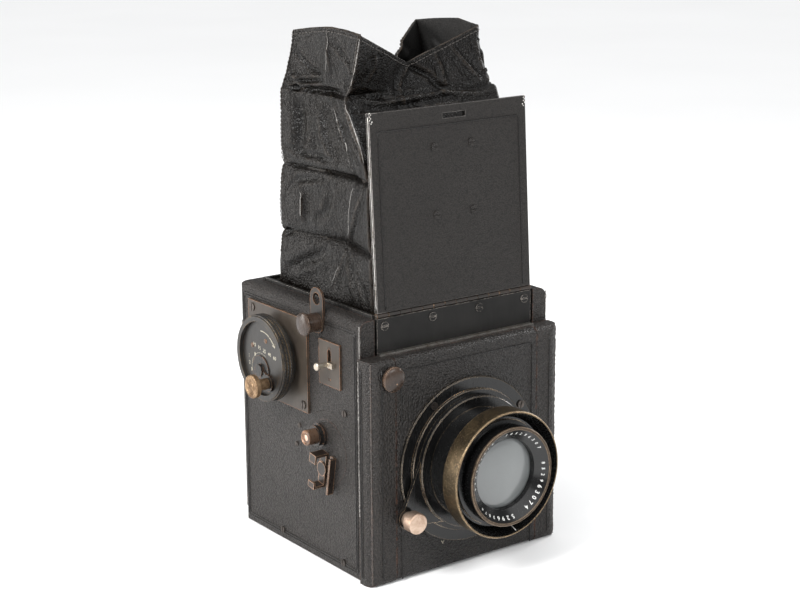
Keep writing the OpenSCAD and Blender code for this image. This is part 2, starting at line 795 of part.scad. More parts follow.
// A lens of radius r, its two faces bulging by b from the planes at d0 and d1.
module lens_glass(r, d0, d1, b) {
    steps = 8;
    lens_turn(concat([for (i = [0:steps]) [r * i / steps, d0 - b * (1 - pow(i / steps, 2))]],
        [for (i = [steps:-1:0]) [r * i / steps, d1 + b * (1 - pow(i / steps, 2))]]));
}

module front_glass() {
    seat = lens_len - 7.5;
    color("#9fb4bd") lens_glass(glass_r, seat - 4, seat - 0.2, 2.2);
}

module rear_cell() {
    color("#191919") lens_turn([[glass_r - 2.1, barrel_rear], [bore_r - run, barrel_rear],
        [bore_r - run, 4], [glass_r + 0.3, 4],
        [glass_r + 0.3, barrel_rear + 2], [glass_r - 2.1, barrel_rear + 2]]);
}

module rear_glass() {
    color("#9fb4bd") lens_glass(glass_r, barrel_rear + 4, barrel_rear + 7, 1.5);
}

// An iris blade: a curved strip that turns about its round end at [iris_pivot_r, 0].
module iris_blade(k) {
    far = 60;
    color("#3d3f42") on_front(0, lens_z) rotate(k * 360 / blade_count)
        translate([0, 0, iris_d + k * iris_pitch])
        linear_extrude(blade_t) {
            intersection() {
                difference() {
                    circle(iris_pivot_r + blade_half_w);
                    circle(iris_pivot_r - blade_half_w);
                }
                polygon([[0, 0], [far, 0], [far, far * tan(blade_sweep / 2)],
                    [far * cos(blade_sweep), far * sin(blade_sweep)]]);
            }
            translate([iris_pivot_r, 0]) circle(blade_half_w);
            rotate(blade_sweep) translate([iris_pivot_r, 0]) circle(blade_half_w);
        }
}

// ---- mirror and shutter ----

module at_mirror() {
    translate([0, mirror_y, mirror_z]) rotate([45, 0, 0]) children();
}

module mirror_frame() {
    color("#2b2a28") at_mirror() difference() {
        union() {
            block([-mirror_w / 2, -mirror_len, -2], [mirror_w / 2, -2.5, 0]);
            for (s = [-1, 1]) {
                translate([s * (mirror_w / 2 - 5), 0, 0]) rotate([0, 90, 0])
                    cylinder(r = 2.8, h = 10, center = true);
                block([s * (mirror_w / 2 - 5) - 5, -4, -2], [s * (mirror_w / 2 - 5) + 5, -1, 0]);
            }
        }
        rotate([0, 90, 0]) cylinder(r = pivot_r + run, h = mirror_w + 2, center = true);
        block([-mirror_w / 2 + 12, -mirror_len + 12, -3], [mirror_w / 2 - 12, -16, 1]);
    }
}

module mirror_glass() {
    color("#c8d2d6") at_mirror() block([-mirror_w / 2 + 1.5, -mirror_len + 1, 0],
        [mirror_w / 2 - 1.5, -6, 1.6]);
}

module mirror_pivot() {
    color("#8f8a80") translate([0, mirror_y, mirror_z]) rotate([0, 90, 0])
        cylinder(r = pivot_r, h = 2 * x_in, center = true);
}

module roller(z) {
    color("#6f675c") translate([0, roller_y, z]) rotate([0, 90, 0]) {
        cylinder(r = roller_r, h = 2 * x_in - 8, center = true);
        cylinder(r = pivot_r, h = 2 * x_in + 4, center = true);
    }
}

module shutter_curtain() {
    y = roller_y + roller_r + fit;
    color("#22201f") block([-plate_w / 2 - 8, y, rollers_z[0]], [plate_w / 2 + 8, y + 0.3, rollers_z[1]]);
}

// ---- back ----

module back_frame() {
    color("#211e1b") difference() {
        block([-frame_w / 2, y_back, frame_z[0]], [frame_w / 2, y_back + frame_t, frame_z[1]]);
        block([-plate_w / 2 + 1.5, y_back - 1, lens_z - plate_len / 2 + 3],
            [plate_w / 2 - 1.5, y_back + 4, lens_z + plate_len / 2 - 3]);
        block([-holder_w / 2 - 0.2, holder_y - 0.15, holder_z0 - gap],
            [holder_w / 2 + 0.2, holder_y + holder_t + 0.15, frame_z[1] + 1]);
        block([-plate_w / 2, y_back + 4, holder_z0 + 4],
            [plate_w / 2, y_back + frame_t + 1, frame_z[1] + 1]);
        for (a = [-1, 1], z = [frame_z[0] + 4, frame_z[1] - 4]) {
            translate([a * (frame_w / 2 - 4), y_back - 1, z]) rotate([-90, 0, 0])
                cylinder(r = shank_r + fit, h = frame_t + 2);
        }
    }
}

module back_screws() {
    color("#5a4c3c") for (a = [-1, 1], z = [frame_z[0] + 4, frame_z[1] - 4]) {
        translate([a * (frame_w / 2 - 4), y_back + frame_t, z]) rotate([-90, 0, 0])
            screw(2, 0.8, frame_t + 3);
    }
}

module plate_holder() {
    z1 = frame_z[1] + gap;
    color("#1b1c1d") difference() {
        union() {
            block([-holder_w / 2, holder_y, holder_z0], [holder_w / 2, holder_y + holder_t, z1]);
            block([-holder_w / 2 - 2, holder_y - 0.5, z1],
                [holder_w / 2 + 2, holder_y + holder_t + 0.5, z1 + 5]);
        }
        // window, slot for the dark slide and space for the plate
        block([-plate_w / 2 + 1.5, holder_y - 1, lens_z - plate_len / 2 + 2],
            [plate_w / 2 - 1.5, holder_y + 1, lens_z + plate_len / 2 - 2]);
        block([-plate_w / 2 - 0.7, holder_y + 0.5, holder_z0 + 2],
            [plate_w / 2 + 0.7, holder_y + 1.5, z1 + 6]);
        block([-plate_w / 2, holder_y + 1, lens_z - plate_len / 2],
            [plate_w / 2, holder_y + 3.2, lens_z + plate_len / 2]);
    }
}

module dark_slide() {
    z1 = frame_z[1] + gap + 5;
    color("#3a3a3c") {
        block([-plate_w / 2 - 0.5, holder_y + 0.6, holder_z0 + 2.2],
            [plate_w / 2 + 0.5, holder_y + 1.4, z1 + gap]);
        block([-plate_w / 2 + 6, holder_y + 0.1, z1 + gap], [plate_w / 2 - 6, holder_y + 1.9, z1 + 4]);
    }
}

body_shell();
base_board();
tripod_bush();
front_frame();
ledge_strip();
hinge_board();
hinge_board_screws();
hinge_leaf_fixed();
hinge_leaf_lid();
hinge_pin();
hood_tray();
focusing_screen();
screen_frame();
leather_hood();
lid();
lid_screws();
shutter_plate();
side_screws();
winding_drum();
winding_shaft();
dial_face();
speed_arm();
speed_knob();
strap_studs();
strap_lugs();
selector_plate();
selector_pin();
release_boss();
release_plunger();
release_lever();
lever_guard();
lens_panel();
panel_lock_knob();
lens_flange();
flange_screws();
focus_ring();
focus_knob();
lens_barrel();
aperture_ring();
front_cell();
front_glass();
rear_cell();
rear_glass();
iris_blade(0);  // iris_blade_1
iris_blade(1);  // iris_blade_2
iris_blade(2);  // iris_blade_3
iris_blade(3);  // iris_blade_4
iris_blade(4);  // iris_blade_5
iris_blade(5);  // iris_blade_6
mirror_frame();
mirror_glass();
mirror_pivot();
shutter_curtain();
roller(rollers_z[1]);  // upper_roller
roller(rollers_z[0]);  // lower_roller
back_frame();
back_screws();
plate_holder();
dark_slide();
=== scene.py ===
"""A box-form single-lens reflex plate camera.

Materials for the CAD nodes, a modelled leather hood, small surface details, floor, light and camera.
"""
import math
import random

import bmesh
import bpy
import numpy as np
from mathutils import Matrix, Vector, noise
from mathutils.kdtree import KDTree


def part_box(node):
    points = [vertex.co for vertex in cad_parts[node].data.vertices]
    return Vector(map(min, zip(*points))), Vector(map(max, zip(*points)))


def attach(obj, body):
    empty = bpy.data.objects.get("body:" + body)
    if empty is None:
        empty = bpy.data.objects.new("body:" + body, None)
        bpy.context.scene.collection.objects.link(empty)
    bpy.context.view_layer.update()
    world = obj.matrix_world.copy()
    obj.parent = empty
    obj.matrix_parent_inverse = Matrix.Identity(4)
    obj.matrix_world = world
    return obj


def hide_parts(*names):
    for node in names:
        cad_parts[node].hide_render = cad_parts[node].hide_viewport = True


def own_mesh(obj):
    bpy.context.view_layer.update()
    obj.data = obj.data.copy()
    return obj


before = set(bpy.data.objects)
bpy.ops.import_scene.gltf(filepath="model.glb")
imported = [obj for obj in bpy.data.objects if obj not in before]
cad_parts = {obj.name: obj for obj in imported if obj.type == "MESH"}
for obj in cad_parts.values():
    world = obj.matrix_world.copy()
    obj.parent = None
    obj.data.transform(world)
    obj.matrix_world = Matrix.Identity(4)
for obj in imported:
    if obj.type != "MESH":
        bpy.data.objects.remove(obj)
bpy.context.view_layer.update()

MM = 0.001
scene = bpy.context.scene
rng = random.Random(11)


def linked(name, data):
    """A new object in the scene that holds data."""
    o = bpy.data.objects.new(name, data)
    scene.collection.objects.link(o)
    return o


def baked(o):
    """The mesh of o with its modifiers applied; o itself is removed."""
    deps = bpy.context.evaluated_depsgraph_get()
    mesh = bpy.data.meshes.new_from_object(o.evaluated_get(deps))
    bpy.data.objects.remove(o)
    return mesh


# ---------- camera, light, floor ----------

def look_matrix(location, yaw, pitch, roll):
    """A camera matrix that looks from +Y towards +X by yaw, down by pitch and turned by roll, in degrees."""
    y, p, r = (math.radians(a) for a in (yaw, pitch, roll))
    forward = Vector((math.sin(y) * math.cos(p), math.cos(y) * math.cos(p), -math.sin(p)))
    right = Vector((math.cos(y), -math.sin(y), 0))
    up = right.cross(forward)
    right, up = math.cos(r) * right + math.sin(r) * up, math.cos(r) * up - math.sin(r) * right
    m = Matrix((right, up, -forward)).transposed().to_4x4()
    m.translation = Vector(location)
    return m


CAMERA_PLACE = (-0.518, -0.71475, 0.351)
CAMERA_TURN = (36.04, 14.65, -0.38)  # yaw, pitch, roll
FOCAL_LENGTH = 82.5
SENSOR_WIDTH = 36

camera = linked("camera", bpy.data.cameras.new("camera"))
camera.matrix_world = look_matrix(CAMERA_PLACE, *CAMERA_TURN)
camera.data.lens = FOCAL_LENGTH
camera.data.sensor_width = SENSOR_WIDTH
camera.data.clip_start = 0.01
scene.camera = camera

SKY_COLOR = (0.96, 0.98, 1.0, 1)
SKY_STRENGTH = 0.3
BACKDROP_STRENGTH = 1.0
SUN_POWER = 2.35
SUN_SPREAD = 100  # degrees
SUN_TILT = (12, -14)  # degrees
AREA_LIGHTS = [  # name, place, height it aims at, size, power, colour
    ("key", (-0.8, -0.25, 0.75), 0.13, (0.35, 0.35), 11, (1, 1, 1)),
    ("front_fill", (0.35, -1.2, 0.75), 0.12, (0.6, 0.4), 6, (1, 1, 1)),
    ("left_strip", (-0.9, 0.75, 0.3), 0.14, (0.3, 0.7), 7, (1.0, 0.96, 0.92)),
    ("right_rim", (0.95, 0.1, 0.5), 0.14, (0.2, 0.6), 4, (1, 1, 1)),
]

scene.view_settings.view_transform = "Standard"
world = bpy.data.worlds.new("studio")
scene.world = world
world.use_nodes = True
sky = world.node_tree
sky.nodes["Background"].inputs["Color"].default_value = SKY_COLOR
sky.nodes["Background"].inputs["Strength"].default_value = SKY_STRENGTH
backdrop = sky.nodes.new("ShaderNodeBackground")
backdrop.inputs["Strength"].default_value = BACKDROP_STRENGTH
chooser = sky.nodes.new("ShaderNodeMixShader")
sky.links.new(sky.nodes.new("ShaderNodeLightPath").outputs["Is Camera Ray"], chooser.inputs[0])
sky.links.new(sky.nodes["Background"].outputs[0], chooser.inputs[1])
sky.links.new(backdrop.outputs[0], chooser.inputs[2])
sky.links.new(chooser.outputs[0], sky.nodes["World Output"].inputs["Surface"])

sun = linked("overhead", bpy.data.lights.new("overhead", "SUN"))
sun.data.energy = SUN_POWER
sun.data.angle = math.radians(SUN_SPREAD)
sun.rotation_euler = (math.radians(SUN_TILT[0]), math.radians(SUN_TILT[1]), 0)


def area_light(name, place, aim_z, size, power, color):
    data = bpy.data.lights.new(name, "AREA")
    data.shape = "RECTANGLE"
    data.size, data.size_y = size
    data.energy = power
    data.color = color
    o = linked(name, data)
    o.location = place
    o.rotation_euler = (Vector((0, 0, aim_z)) - Vector(place)).to_track_quat("-Z", "Y").to_euler()


for light in AREA_LIGHTS:
    area_light(*light)


# ---------- node helper ----------

class Mat:
    """A principled material with short calls for the nodes that feed it."""

    def __init__(self, name, **sockets):
        self.m = bpy.data.materials.new(name)
        self.m.use_nodes = True
        self.t = self.m.node_tree
        self.b = self.t.nodes["Principled BSDF"]
        for key, value in sockets.items():
            self.set(key.replace("_", " "), value)
        self.co = self.node("ShaderNodeTexCoord").outputs["Object"]

    def set(self, key, value):
        self.put(self.b.inputs[key], value)

    def put(self, sock, value):
        if isinstance(value, bpy.types.NodeSocket):
            self.t.links.new(value, sock)
        elif sock.type == "RGBA" and len(value) == 3:
            sock.default_value = (*value, 1)
        else:
            sock.default_value = value

    def node(self, kind, inputs=(), **props):
        n = self.t.nodes.new(kind)
        for key, value in props.items():
            setattr(n, key, value)
        for key, value in dict(inputs).items():
            self.put(n.inputs[key], value)
        return n

    def math(self, op, a, b=0.0, clamp=False):
        return self.node("ShaderNodeMath", {0: a, 1: b}, operation=op, use_clamp=clamp).outputs[0]

    def mul(self, a, b, clamp=False):
        return self.math("MULTIPLY", a, b, clamp)

    def add(self, a, b, clamp=False):
        return self.math("ADD", a, b, clamp)

    def sub(self, a, b, clamp=False):
        return self.math("SUBTRACT", a, b, clamp)

    def most(self, a, b):
        return self.math("MAXIMUM", a, b)

    def noise(self, scale, detail=3, rough=0.5, distortion=0.0, co=None):
        n = self.node("ShaderNodeTexNoise", {"Vector": co or self.co, "Scale": scale, "Detail": detail,
                                             "Roughness": rough, "Distortion": distortion})
        return n.outputs["Fac"]

    def cells(self, scale, feature="F1", co=None):
        n = self.node("ShaderNodeTexVoronoi", {"Vector": co or self.co, "Scale": scale}, feature=feature)
        return n.outputs["Distance"]

    def stretched(self, x, y, z):
        return self.node("ShaderNodeMapping", {"Vector": self.co, "Scale": (x, y, z)}).outputs["Vector"]

    def span(self, value, a, b, lo=0.0, hi=1.0):
        """value, which runs from a to b, mapped to run from lo to hi."""
        n = self.node("ShaderNodeMapRange", {"Value": value, "From Min": a, "From Max": b,
                                             "To Min": lo, "To Max": hi})
        return n.outputs[0]

    def mix(self, fac, a, b):
        n = self.node("ShaderNodeMix", data_type="RGBA")
        for sock, value in ((n.inputs[0], fac), (n.inputs[6], a), (n.inputs[7], b)):
            self.put(sock, value)
        return n.outputs[2]

    def bump(self, height, distance, strength=1.0, normal=None):
        inputs = {"Height": height, "Distance": distance, "Strength": strength}
        if normal:
            inputs["Normal"] = normal
        return self.node("ShaderNodeBump", inputs).outputs["Normal"]

    def edge(self, radius, lo, hi):
        """1 on edges within radius, 0 on flat ground."""
        bevel = self.node("ShaderNodeBevel", {"Radius": radius}, samples=4).outputs[0]
        plain = self.node("ShaderNodeNewGeometry").outputs["Normal"]
        n = self.node("ShaderNodeVectorMath", {0: bevel, 1: plain}, operation="DOT_PRODUCT")
        return self.span(self.sub(1.0, n.outputs["Value"]), lo, hi)


def leather(name, dark, light, grain, rough, worn, wear_at=(0.42, 0.62), edge_radius=0.0011, depth=0.00016,
            wrinkles=0.0, gloss=0.36, highlight_span=None, crests=None):
    """Pebbled leather: Voronoi pebbles, soft mottling, edges worn through to the worn colour.

    depth and wrinkles are bump heights, highlight_span is the span in X where the worn colour grows, which on
    the lid is a painted highlight, and crests is the colour of the ridges of its folds, partly rubbed wear and
    partly a painted highlight, while the hollows of the folds get a painted shade.
    """
    m = Mat(name, Specular_IOR_Level=gloss)
    swirl = m.node("ShaderNodeTexNoise", {"Vector": m.co, "Scale": 320.0, "Detail": 2.0}).outputs["Color"]
    shift = m.node("ShaderNodeVectorMath", {0: swirl, "Scale": 0.0011}, operation="SCALE").outputs[0]
    warp = m.node("ShaderNodeVectorMath", {0: m.co, 1: shift}, operation="ADD").outputs[0]
    pebble = m.cells(grain, "F1", warp)
    fine = m.cells(grain * 2.1, "SMOOTH_F1", warp)
    blotch = m.noise(38, 5, 0.6)
    patch = m.noise(11, 3, 0.5, 0.4)
    edge = m.edge(edge_radius, 0.03, 0.3)
    scuff = m.span(m.noise(420, 4, 0.7), *wear_at)
    worn_here = m.mul(edge, scuff, True)
    # On the lid this span grows the worn colour into a painted highlight along its left edge.
    if highlight_span:
        x = m.node("ShaderNodeSeparateXYZ", {0: m.co}).outputs["X"]
        worn_here = m.mul(worn_here, m.span(x, *highlight_span))
    tone = m.mix(m.span(blotch, 0.2, 0.85), dark, light)
    # Darker in the crevices between the pebbles: a painted shade.
    hollow = m.mix(m.span(pebble, 0.35, 0.75), tone, [c * 0.5 for c in dark])
    color = m.mix(m.mul(worn_here, m.span(patch, 0.3, 0.62, 0.15, 1.0)), hollow, worn)
    # The fold ridges turn lighter, partly rubbed wear and partly a painted highlight; the fold hollows turn
    # darker, a painted shade.
    if crests:
        point = m.node("ShaderNodeNewGeometry").outputs["Pointiness"]
        rubbed = m.mul(m.span(point, 0.51, 0.59), m.span(m.noise(300, 5, 0.7), 0.38, 0.66), True)
        shaded = m.mix(m.span(point, 0.5, 0.44), color, [c * 0.4 for c in dark])
        color = m.mix(rubbed, shaded, crests)
    m.set("Base Color", color)
    shine = m.add(m.span(patch, 0.25, 0.75, rough - 0.04, rough + 0.06),
                  m.span(pebble, 0.1, 0.8, -0.05, 0.14))
    m.set("Roughness", m.sub(shine, m.mul(edge, 0.09), True))
    height = m.sub(m.mul(fine, 0.35), pebble)
    normal = m.bump(height, depth, 0.9)
    if wrinkles:
        lines = m.cells(95, "DISTANCE_TO_EDGE", m.stretched(1.0, 1.3, 0.55))
        normal = m.bump(m.span(lines, 0.0, 0.09), wrinkles, 0.5, normal)
    m.set("Normal", m.bump(m.noise(120, 4, 0.6), depth * 1.2, 0.4, normal))
    return m.m


def lacquer(name, black, metal, rough=0.28, wear=(0.44, 0.6), radius=0.0005, rub=0.0, cap=1.0, stain=None,
            chipped=1.0, gloss=0.4):
    """Black enamel or japanning on brass: metal shows where the edges are rubbed, and in small chips.

    cap is the most metal that shows anywhere, chipped how much the chips show, and rub how far the flat
    faces are worn too.
    """
    m = Mat(name, Specular_IOR_Level=gloss)
    edge = m.edge(radius, 0.04, 0.26)
    fleck = m.noise(700, 4, 0.65)
    broad = m.noise(60, 3, 0.6)
    flaked = m.span(m.add(fleck, m.mul(broad, 0.35)), wear[0] + 0.17, wear[1] + 0.17)
    worn_here = m.mul(edge, flaked, True)
    chips = m.mul(m.span(m.cells(260), 0.1, 0.04), m.span(m.noise(35, 2), 0.6, 0.66, 0, chipped), True)
    worn_here = m.most(worn_here, chips)
    if rub:
        worn_here = m.most(worn_here, m.span(broad, 0.62 - rub, 0.8 - rub, 0, 0.55))
    worn_here = m.mul(worn_here, cap, True)
    tone = m.mix(m.span(broad, 0.35, 0.7), black, stain or [c * 1.9 for c in black])
    bare = m.mix(m.span(m.noise(240, 3), 0.35, 0.7), [c * 0.55 for c in metal], metal)
    m.set("Base Color", m.mix(worn_here, tone, bare))
    m.set("Metallic", worn_here)
    streaks = m.noise(900, 3, 0.6, 0, m.stretched(1, 1, 0.12))
    m.set("Roughness", m.add(m.span(streaks, 0.3, 0.7, rough - 0.05, rough + 0.1),
                              m.span(broad, 0.4, 0.75, 0, 0.08)))
    grit = m.bump(m.noise(1100, 3, 0.6), 0.00002, 0.5)
    m.set("Normal", m.bump(worn_here, 0.00004, 0.5, grit))
    return m.m


def bare_metal(name, bright, tarnish, rough=0.3, amount=(0.4, 0.66), edge_bright=0.35):
    """Brass, steel or nickel with clouded tarnish that stops short of the rubbed edges, and fine scratches."""
    m = Mat(name, Metallic=1.0)
    edge = m.edge(0.0004, 0.03, 0.25)
    cloud = m.noise(170, 5, 0.65, 0.5)
    spots = m.span(m.cells(520), 0.32, 0.12)
    dull = m.span(m.sub(m.add(cloud, m.mul(spots, 0.1)),
                         m.mul(edge, edge_bright)), *amount)
    m.set("Base Color", m.mix(dull, bright, tarnish))
    scratch = m.noise(1500, 3, 0.6)
    m.set("Roughness", m.add(m.span(scratch, 0.3, 0.7, rough - 0.07, rough + 0.09),
                              m.mul(dull, 0.2)))
    m.set("Normal", m.bump(scratch, 0.000015, 0.5, m.bump(m.noise(260, 3), 0.00003, 0.4)))
    return m.m


COPPER = (0.62, 0.3, 0.15)
BRASS = (0.62, 0.4, 0.19)
body_leather = leather("body_leather", (0.0115, 0.009, 0.0074), (0.021, 0.0165, 0.0137), 1050, 0.44,
    (0.15, 0.065, 0.038), (0.42, 0.58), depth=0.0006, gloss=0.4)
panel_leather = leather("panel_leather", (0.0095, 0.0077, 0.0066), (0.017, 0.0138, 0.0118), 950, 0.42,
    (0.15, 0.055, 0.03), depth=0.0007, gloss=0.4)
# The lid's near-white worn colour is a painted highlight on its edges, strongest along the left edge.
lid_leather = leather("lid_leather", (0.0108, 0.0088, 0.0074), (0.0158, 0.013, 0.011), 1500, 0.5,
    (0.75, 0.7, 0.66), (0.36, 0.44), 0.0005, 0.00026, gloss=0.34, highlight_span=(-0.043, -0.041, 1.0, 0.25))
# Its crests colour lightens the fold ridges, partly rubbed wear and partly a painted highlight, and its fold
# hollows get a painted shade.
hood_leather = leather("hood_leather", (0.0026, 0.002, 0.0016), (0.007, 0.0052, 0.0039), 1000, 0.23,
    (0.05, 0.043, 0.037), (0.4, 0.6), 0.0008, 0.0003, wrinkles=0.0003, gloss=0.2, crests=(0.05, 0.037, 0.027))
plain_leather = leather("plain_leather", (0.0115, 0.009, 0.0075), (0.018, 0.0145, 0.012), 1200, 0.46,
    (0.02, 0.016, 0.013), depth=0.0004, gloss=0.36)
# Pale leather for the rubbed fold edges and the seams: its pale colour is partly wear and partly a painted
# highlight.
wear_and_highlight_leather = leather("wear_and_highlight_leather", (0.07, 0.062, 0.055), (0.36, 0.34, 0.32), 1500, 0.22,
    (0.5, 0.48, 0.46), (0.3, 0.5), 0.0004, 0.0001, gloss=0.7)
hood_lining = leather("hood_lining", (0.006, 0.0055, 0.005), (0.010, 0.009, 0.008), 1400, 0.62,
    (0.05, 0.04, 0.03))
welt_leather = leather("welt_leather", (0.014, 0.009, 0.0065), (0.07, 0.04, 0.027), 1500, 0.26,
    (0.4, 0.3, 0.24), (0.36, 0.5), 0.0004, 0.0001, gloss=0.8)
enamel = lacquer("black_enamel", (0.007, 0.0065, 0.006), COPPER, 0.25)
lens_enamel = lacquer("lens_enamel", (0.0032, 0.0032, 0.0032), (0.85, 0.66, 0.46), 0.17, (0.26, 0.42), 0.0004,
    chipped=0.0)
plate_enamel = lacquer("plate_enamel", (0.034, 0.027, 0.0215), COPPER, 0.36, (0.3, 0.5), 0.0006,
    stain=(0.06, 0.048, 0.037), gloss=0.3)
lug_enamel = lacquer("lug_enamel", (0.012, 0.0105, 0.0095), COPPER, 0.32, (0.3, 0.5), 0.0005,
    stain=(0.035, 0.027, 0.02), gloss=0.25)
dial_enamel = lacquer("dial_enamel", (0.012, 0.0112, 0.0105), BRASS, 0.32, stain=(0.026, 0.023, 0.019),
    chipped=0.4, cap=0.5)
knurl_enamel = lacquer("knurl_enamel", (0.009, 0.0085, 0.008), (0.2, 0.15, 0.11), 0.3, cap=0.3, chipped=0.0)
tray_enamel = lacquer("tray_enamel", (0.006, 0.0058, 0.0055), (0.6, 0.55, 0.5), 0.25, (0.36, 0.52), 0.0004)
board_enamel = lacquer("board_enamel", (0.007, 0.0066, 0.0062), (0.66, 0.6, 0.54), 0.42, (0.4, 0.56), 0.0004,
    gloss=0.16)
hinge_enamel = lacquer("hinge_enamel", (0.01, 0.008, 0.0065), (0.66, 0.42, 0.26), 0.34, (0.47, 0.62), 0.0005,
    stain=(0.022, 0.015, 0.011))
dome_bronze = lacquer("dome_bronze", (0.02, 0.014, 0.011), (0.9, 0.56, 0.36), 0.22, (0.14, 0.28), 0.0005,
    stain=(0.045, 0.027, 0.018))
worn_copper = lacquer("worn_copper", (0.05, 0.03, 0.02), (0.72, 0.4, 0.24), 0.28, (0.34, 0.52), 0.0007,
    rub=0.12, stain=(0.12, 0.068, 0.04))
lever_bronze = lacquer("lever_bronze", (0.013, 0.0095, 0.0075), (0.95, 0.6, 0.4), 0.3, (0.14, 0.3), 0.0008,
    stain=(0.032, 0.021, 0.015))


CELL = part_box("front_cell")
LENS_Z = (CELL[0][2] + CELL[1][2]) / 2


def ringed_bronze(name, inner, blend, bands, dark, stain, metal, rough, deep):
    """Bronzed metal that is black within the radius inner about the lens axis, and behind the depth deep.

    blend is the width of the change, and bands is the scale of the tarnish.
    """
    m = Mat(name, Specular_IOR_Level=0.5)
    xyz = m.node("ShaderNodeSeparateXYZ", {0: m.co}).outputs
    dz = m.sub(xyz["Z"], LENS_Z)
    r = m.math("SQRT", m.add(m.mul(xyz["X"], xyz["X"]), m.mul(dz, dz)))
    black = m.most(m.span(r, inner, inner - blend), m.span(xyz["Y"], deep, deep + 0.0003))
    edge = m.mul(m.edge(0.00045, 0.03, 0.2), m.span(m.noise(500, 3), 0.3, 0.42), True)
    edge = m.mul(edge, m.sub(1.0, black), True)
    cloud = m.noise(bands, 6, 0.72, 0.6)
    speck = m.noise(1400, 4, 0.7)
    ground = m.mix(m.span(cloud, 0.35, 0.66), dark, stain)
    ground = m.mix(m.span(speck, 0.54, 0.74), ground, [c * 0.4 for c in metal])
    ground = m.mix(edge, ground, metal)
    m.set("Base Color", m.mix(black, ground, (0.0035, 0.0035, 0.0035)))
    m.set("Metallic", m.mul(m.sub(1.0, black), 0.85))
    m.set("Roughness", m.add(m.span(speck, 0.3, 0.75, rough - 0.06, rough + 0.12),
                              m.mul(black, -0.1)))
    m.set("Normal", m.bump(speck, 0.00002, 0.5))
    return m.m


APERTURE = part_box("aperture_ring")
APERTURE_R = (APERTURE[1][2] - APERTURE[0][2]) / 2
CELL_R = (CELL[1][2] - CELL[0][2]) / 2 - 0.0014  # the rim is narrower than the cell's hidden flange
aperture_bronze = ringed_bronze("aperture_bronze", APERTURE_R - 0.0008, 0.0001, 150, (0.034, 0.026, 0.016),
                                (0.1, 0.073, 0.04), (0.85, 0.6, 0.36), 0.34, APERTURE[1][1] + 0.01)
cell_bronze = ringed_bronze("cell_bronze", CELL_R - 0.0015, 0.0002, 220, (0.03, 0.024, 0.019),
                            (0.075, 0.055, 0.04), (0.55, 0.4, 0.27), 0.3, CELL[0][1] + 0.0009)
brass = bare_metal("brass", (0.66, 0.42, 0.23), (0.24, 0.13, 0.065), 0.27, (0.36, 0.6))
dull_brass = bare_metal("dull_brass", (0.44, 0.3, 0.18), (0.15, 0.095, 0.055), 0.38, (0.34, 0.6))
plunger_copper = bare_metal("plunger_copper", (0.88, 0.6, 0.46), (0.5, 0.29, 0.19), 0.3, (0.46, 0.72))
pink_nickel = bare_metal("focus_nickel", (0.56, 0.43, 0.34), (0.36, 0.24, 0.17), 0.4, (0.42, 0.74))
steel = bare_metal("steel", (0.5, 0.48, 0.45), (0.2, 0.17, 0.14), 0.3)
pale_metal = bare_metal("pale_metal", (0.6, 0.55, 0.47), (0.3, 0.25, 0.2), 0.32)
strip_metal = bare_metal("strip_metal", (0.92, 0.9, 0.86), (0.3, 0.26, 0.22), 0.34, (0.42, 0.6),
    edge_bright=0.1)
dark_screws = bare_metal("dark_screws", (0.11, 0.095, 0.085), (0.03, 0.026, 0.024), 0.36, edge_bright=0.5)
blade_steel = bare_metal("iris_steel", (0.14, 0.145, 0.15), (0.06, 0.062, 0.065), 0.35)


def glass(name, tint, clear, rough, coat):
    m = Mat(name, IOR=1.52, Coat_Weight=coat, Coat_Roughness=0.03)
    m.set("Transmission Weight", clear)
    m.set("Base Color", m.mix(m.span(m.noise(45, 3), 0.35, 0.7), tint, [c * 0.9 for c in tint]))
    m.set("Roughness", m.span(m.noise(160, 4, 0.6), 0.35, 0.75, rough, rough + 0.07))
    m.set("Normal", m.bump(m.noise(900, 2), 0.000004, 0.3))
    return m.m


front_optic = glass("front_optic", (0.27, 0.285, 0.285), 0.5, 0.05, 0.6)
rear_optic = glass("rear_optic", (0.4, 0.44, 0.46), 0.8, 0.03, 0.3)
ground_glass = glass("ground_glass", (0.7, 0.73, 0.72), 0.35, 0.5, 0.0)


def mirror_material():
    m = Mat("mirror_silver", Metallic=1.0)
    haze = m.span(m.noise(60, 5, 0.6, 0.6), 0.52, 0.75)
    m.set("Base Color", m.mix(haze, (0.82, 0.84, 0.85), (0.5, 0.47, 0.43)))
    m.set("Roughness", m.mul(haze, 0.25))
    m.set("Normal", m.bump(m.noise(500, 2), 0.000005, 0.2))
    return m.m


def cloth_material():
    m = Mat("curtain_cloth", Specular_IOR_Level=0.3, Sheen_Weight=0.25, Sheen_Roughness=0.5)
    thread = m.most(*(m.node("ShaderNodeTexWave", {"Vector": m.co, "Scale": 900.0, "Distortion": 0.6},
                             bands_direction=way).outputs["Fac"] for way in "XZ"))
    m.set("Base Color", m.mix(m.span(m.noise(70, 4), 0.3, 0.7), (0.012, 0.011, 0.011), (0.024, 0.021, 0.02)))
    m.set("Roughness", m.span(thread, 0, 1, 0.8, 0.62))
    m.set("Normal", m.bump(thread, 0.00008, 0.7))
    return m.m


def wood_material():
    m = Mat("stained_board", Specular_IOR_Level=0.4)
    fibre = m.noise(70, 6, 0.65, 1.2, m.stretched(6, 1, 6))
    m.set("Base Color", m.mix(m.span(fibre, 0.3, 0.72), (0.012, 0.010, 0.009), (0.035, 0.026, 0.02)))
    m.set("Roughness", m.span(fibre, 0.3, 0.7, 0.42, 0.6))
    m.set("Normal", m.bump(fibre, 0.0001, 0.5))
    return m.m


def floor_material():
    m = Mat("pale_floor", Specular_IOR_Level=0.2, Roughness=0.85)
    m.set("Base Color", m.mix(m.span(m.noise(3, 2), 0.3, 0.7), (0.90, 0.90, 0.90), (0.92, 0.92, 0.92)))
    return m.m


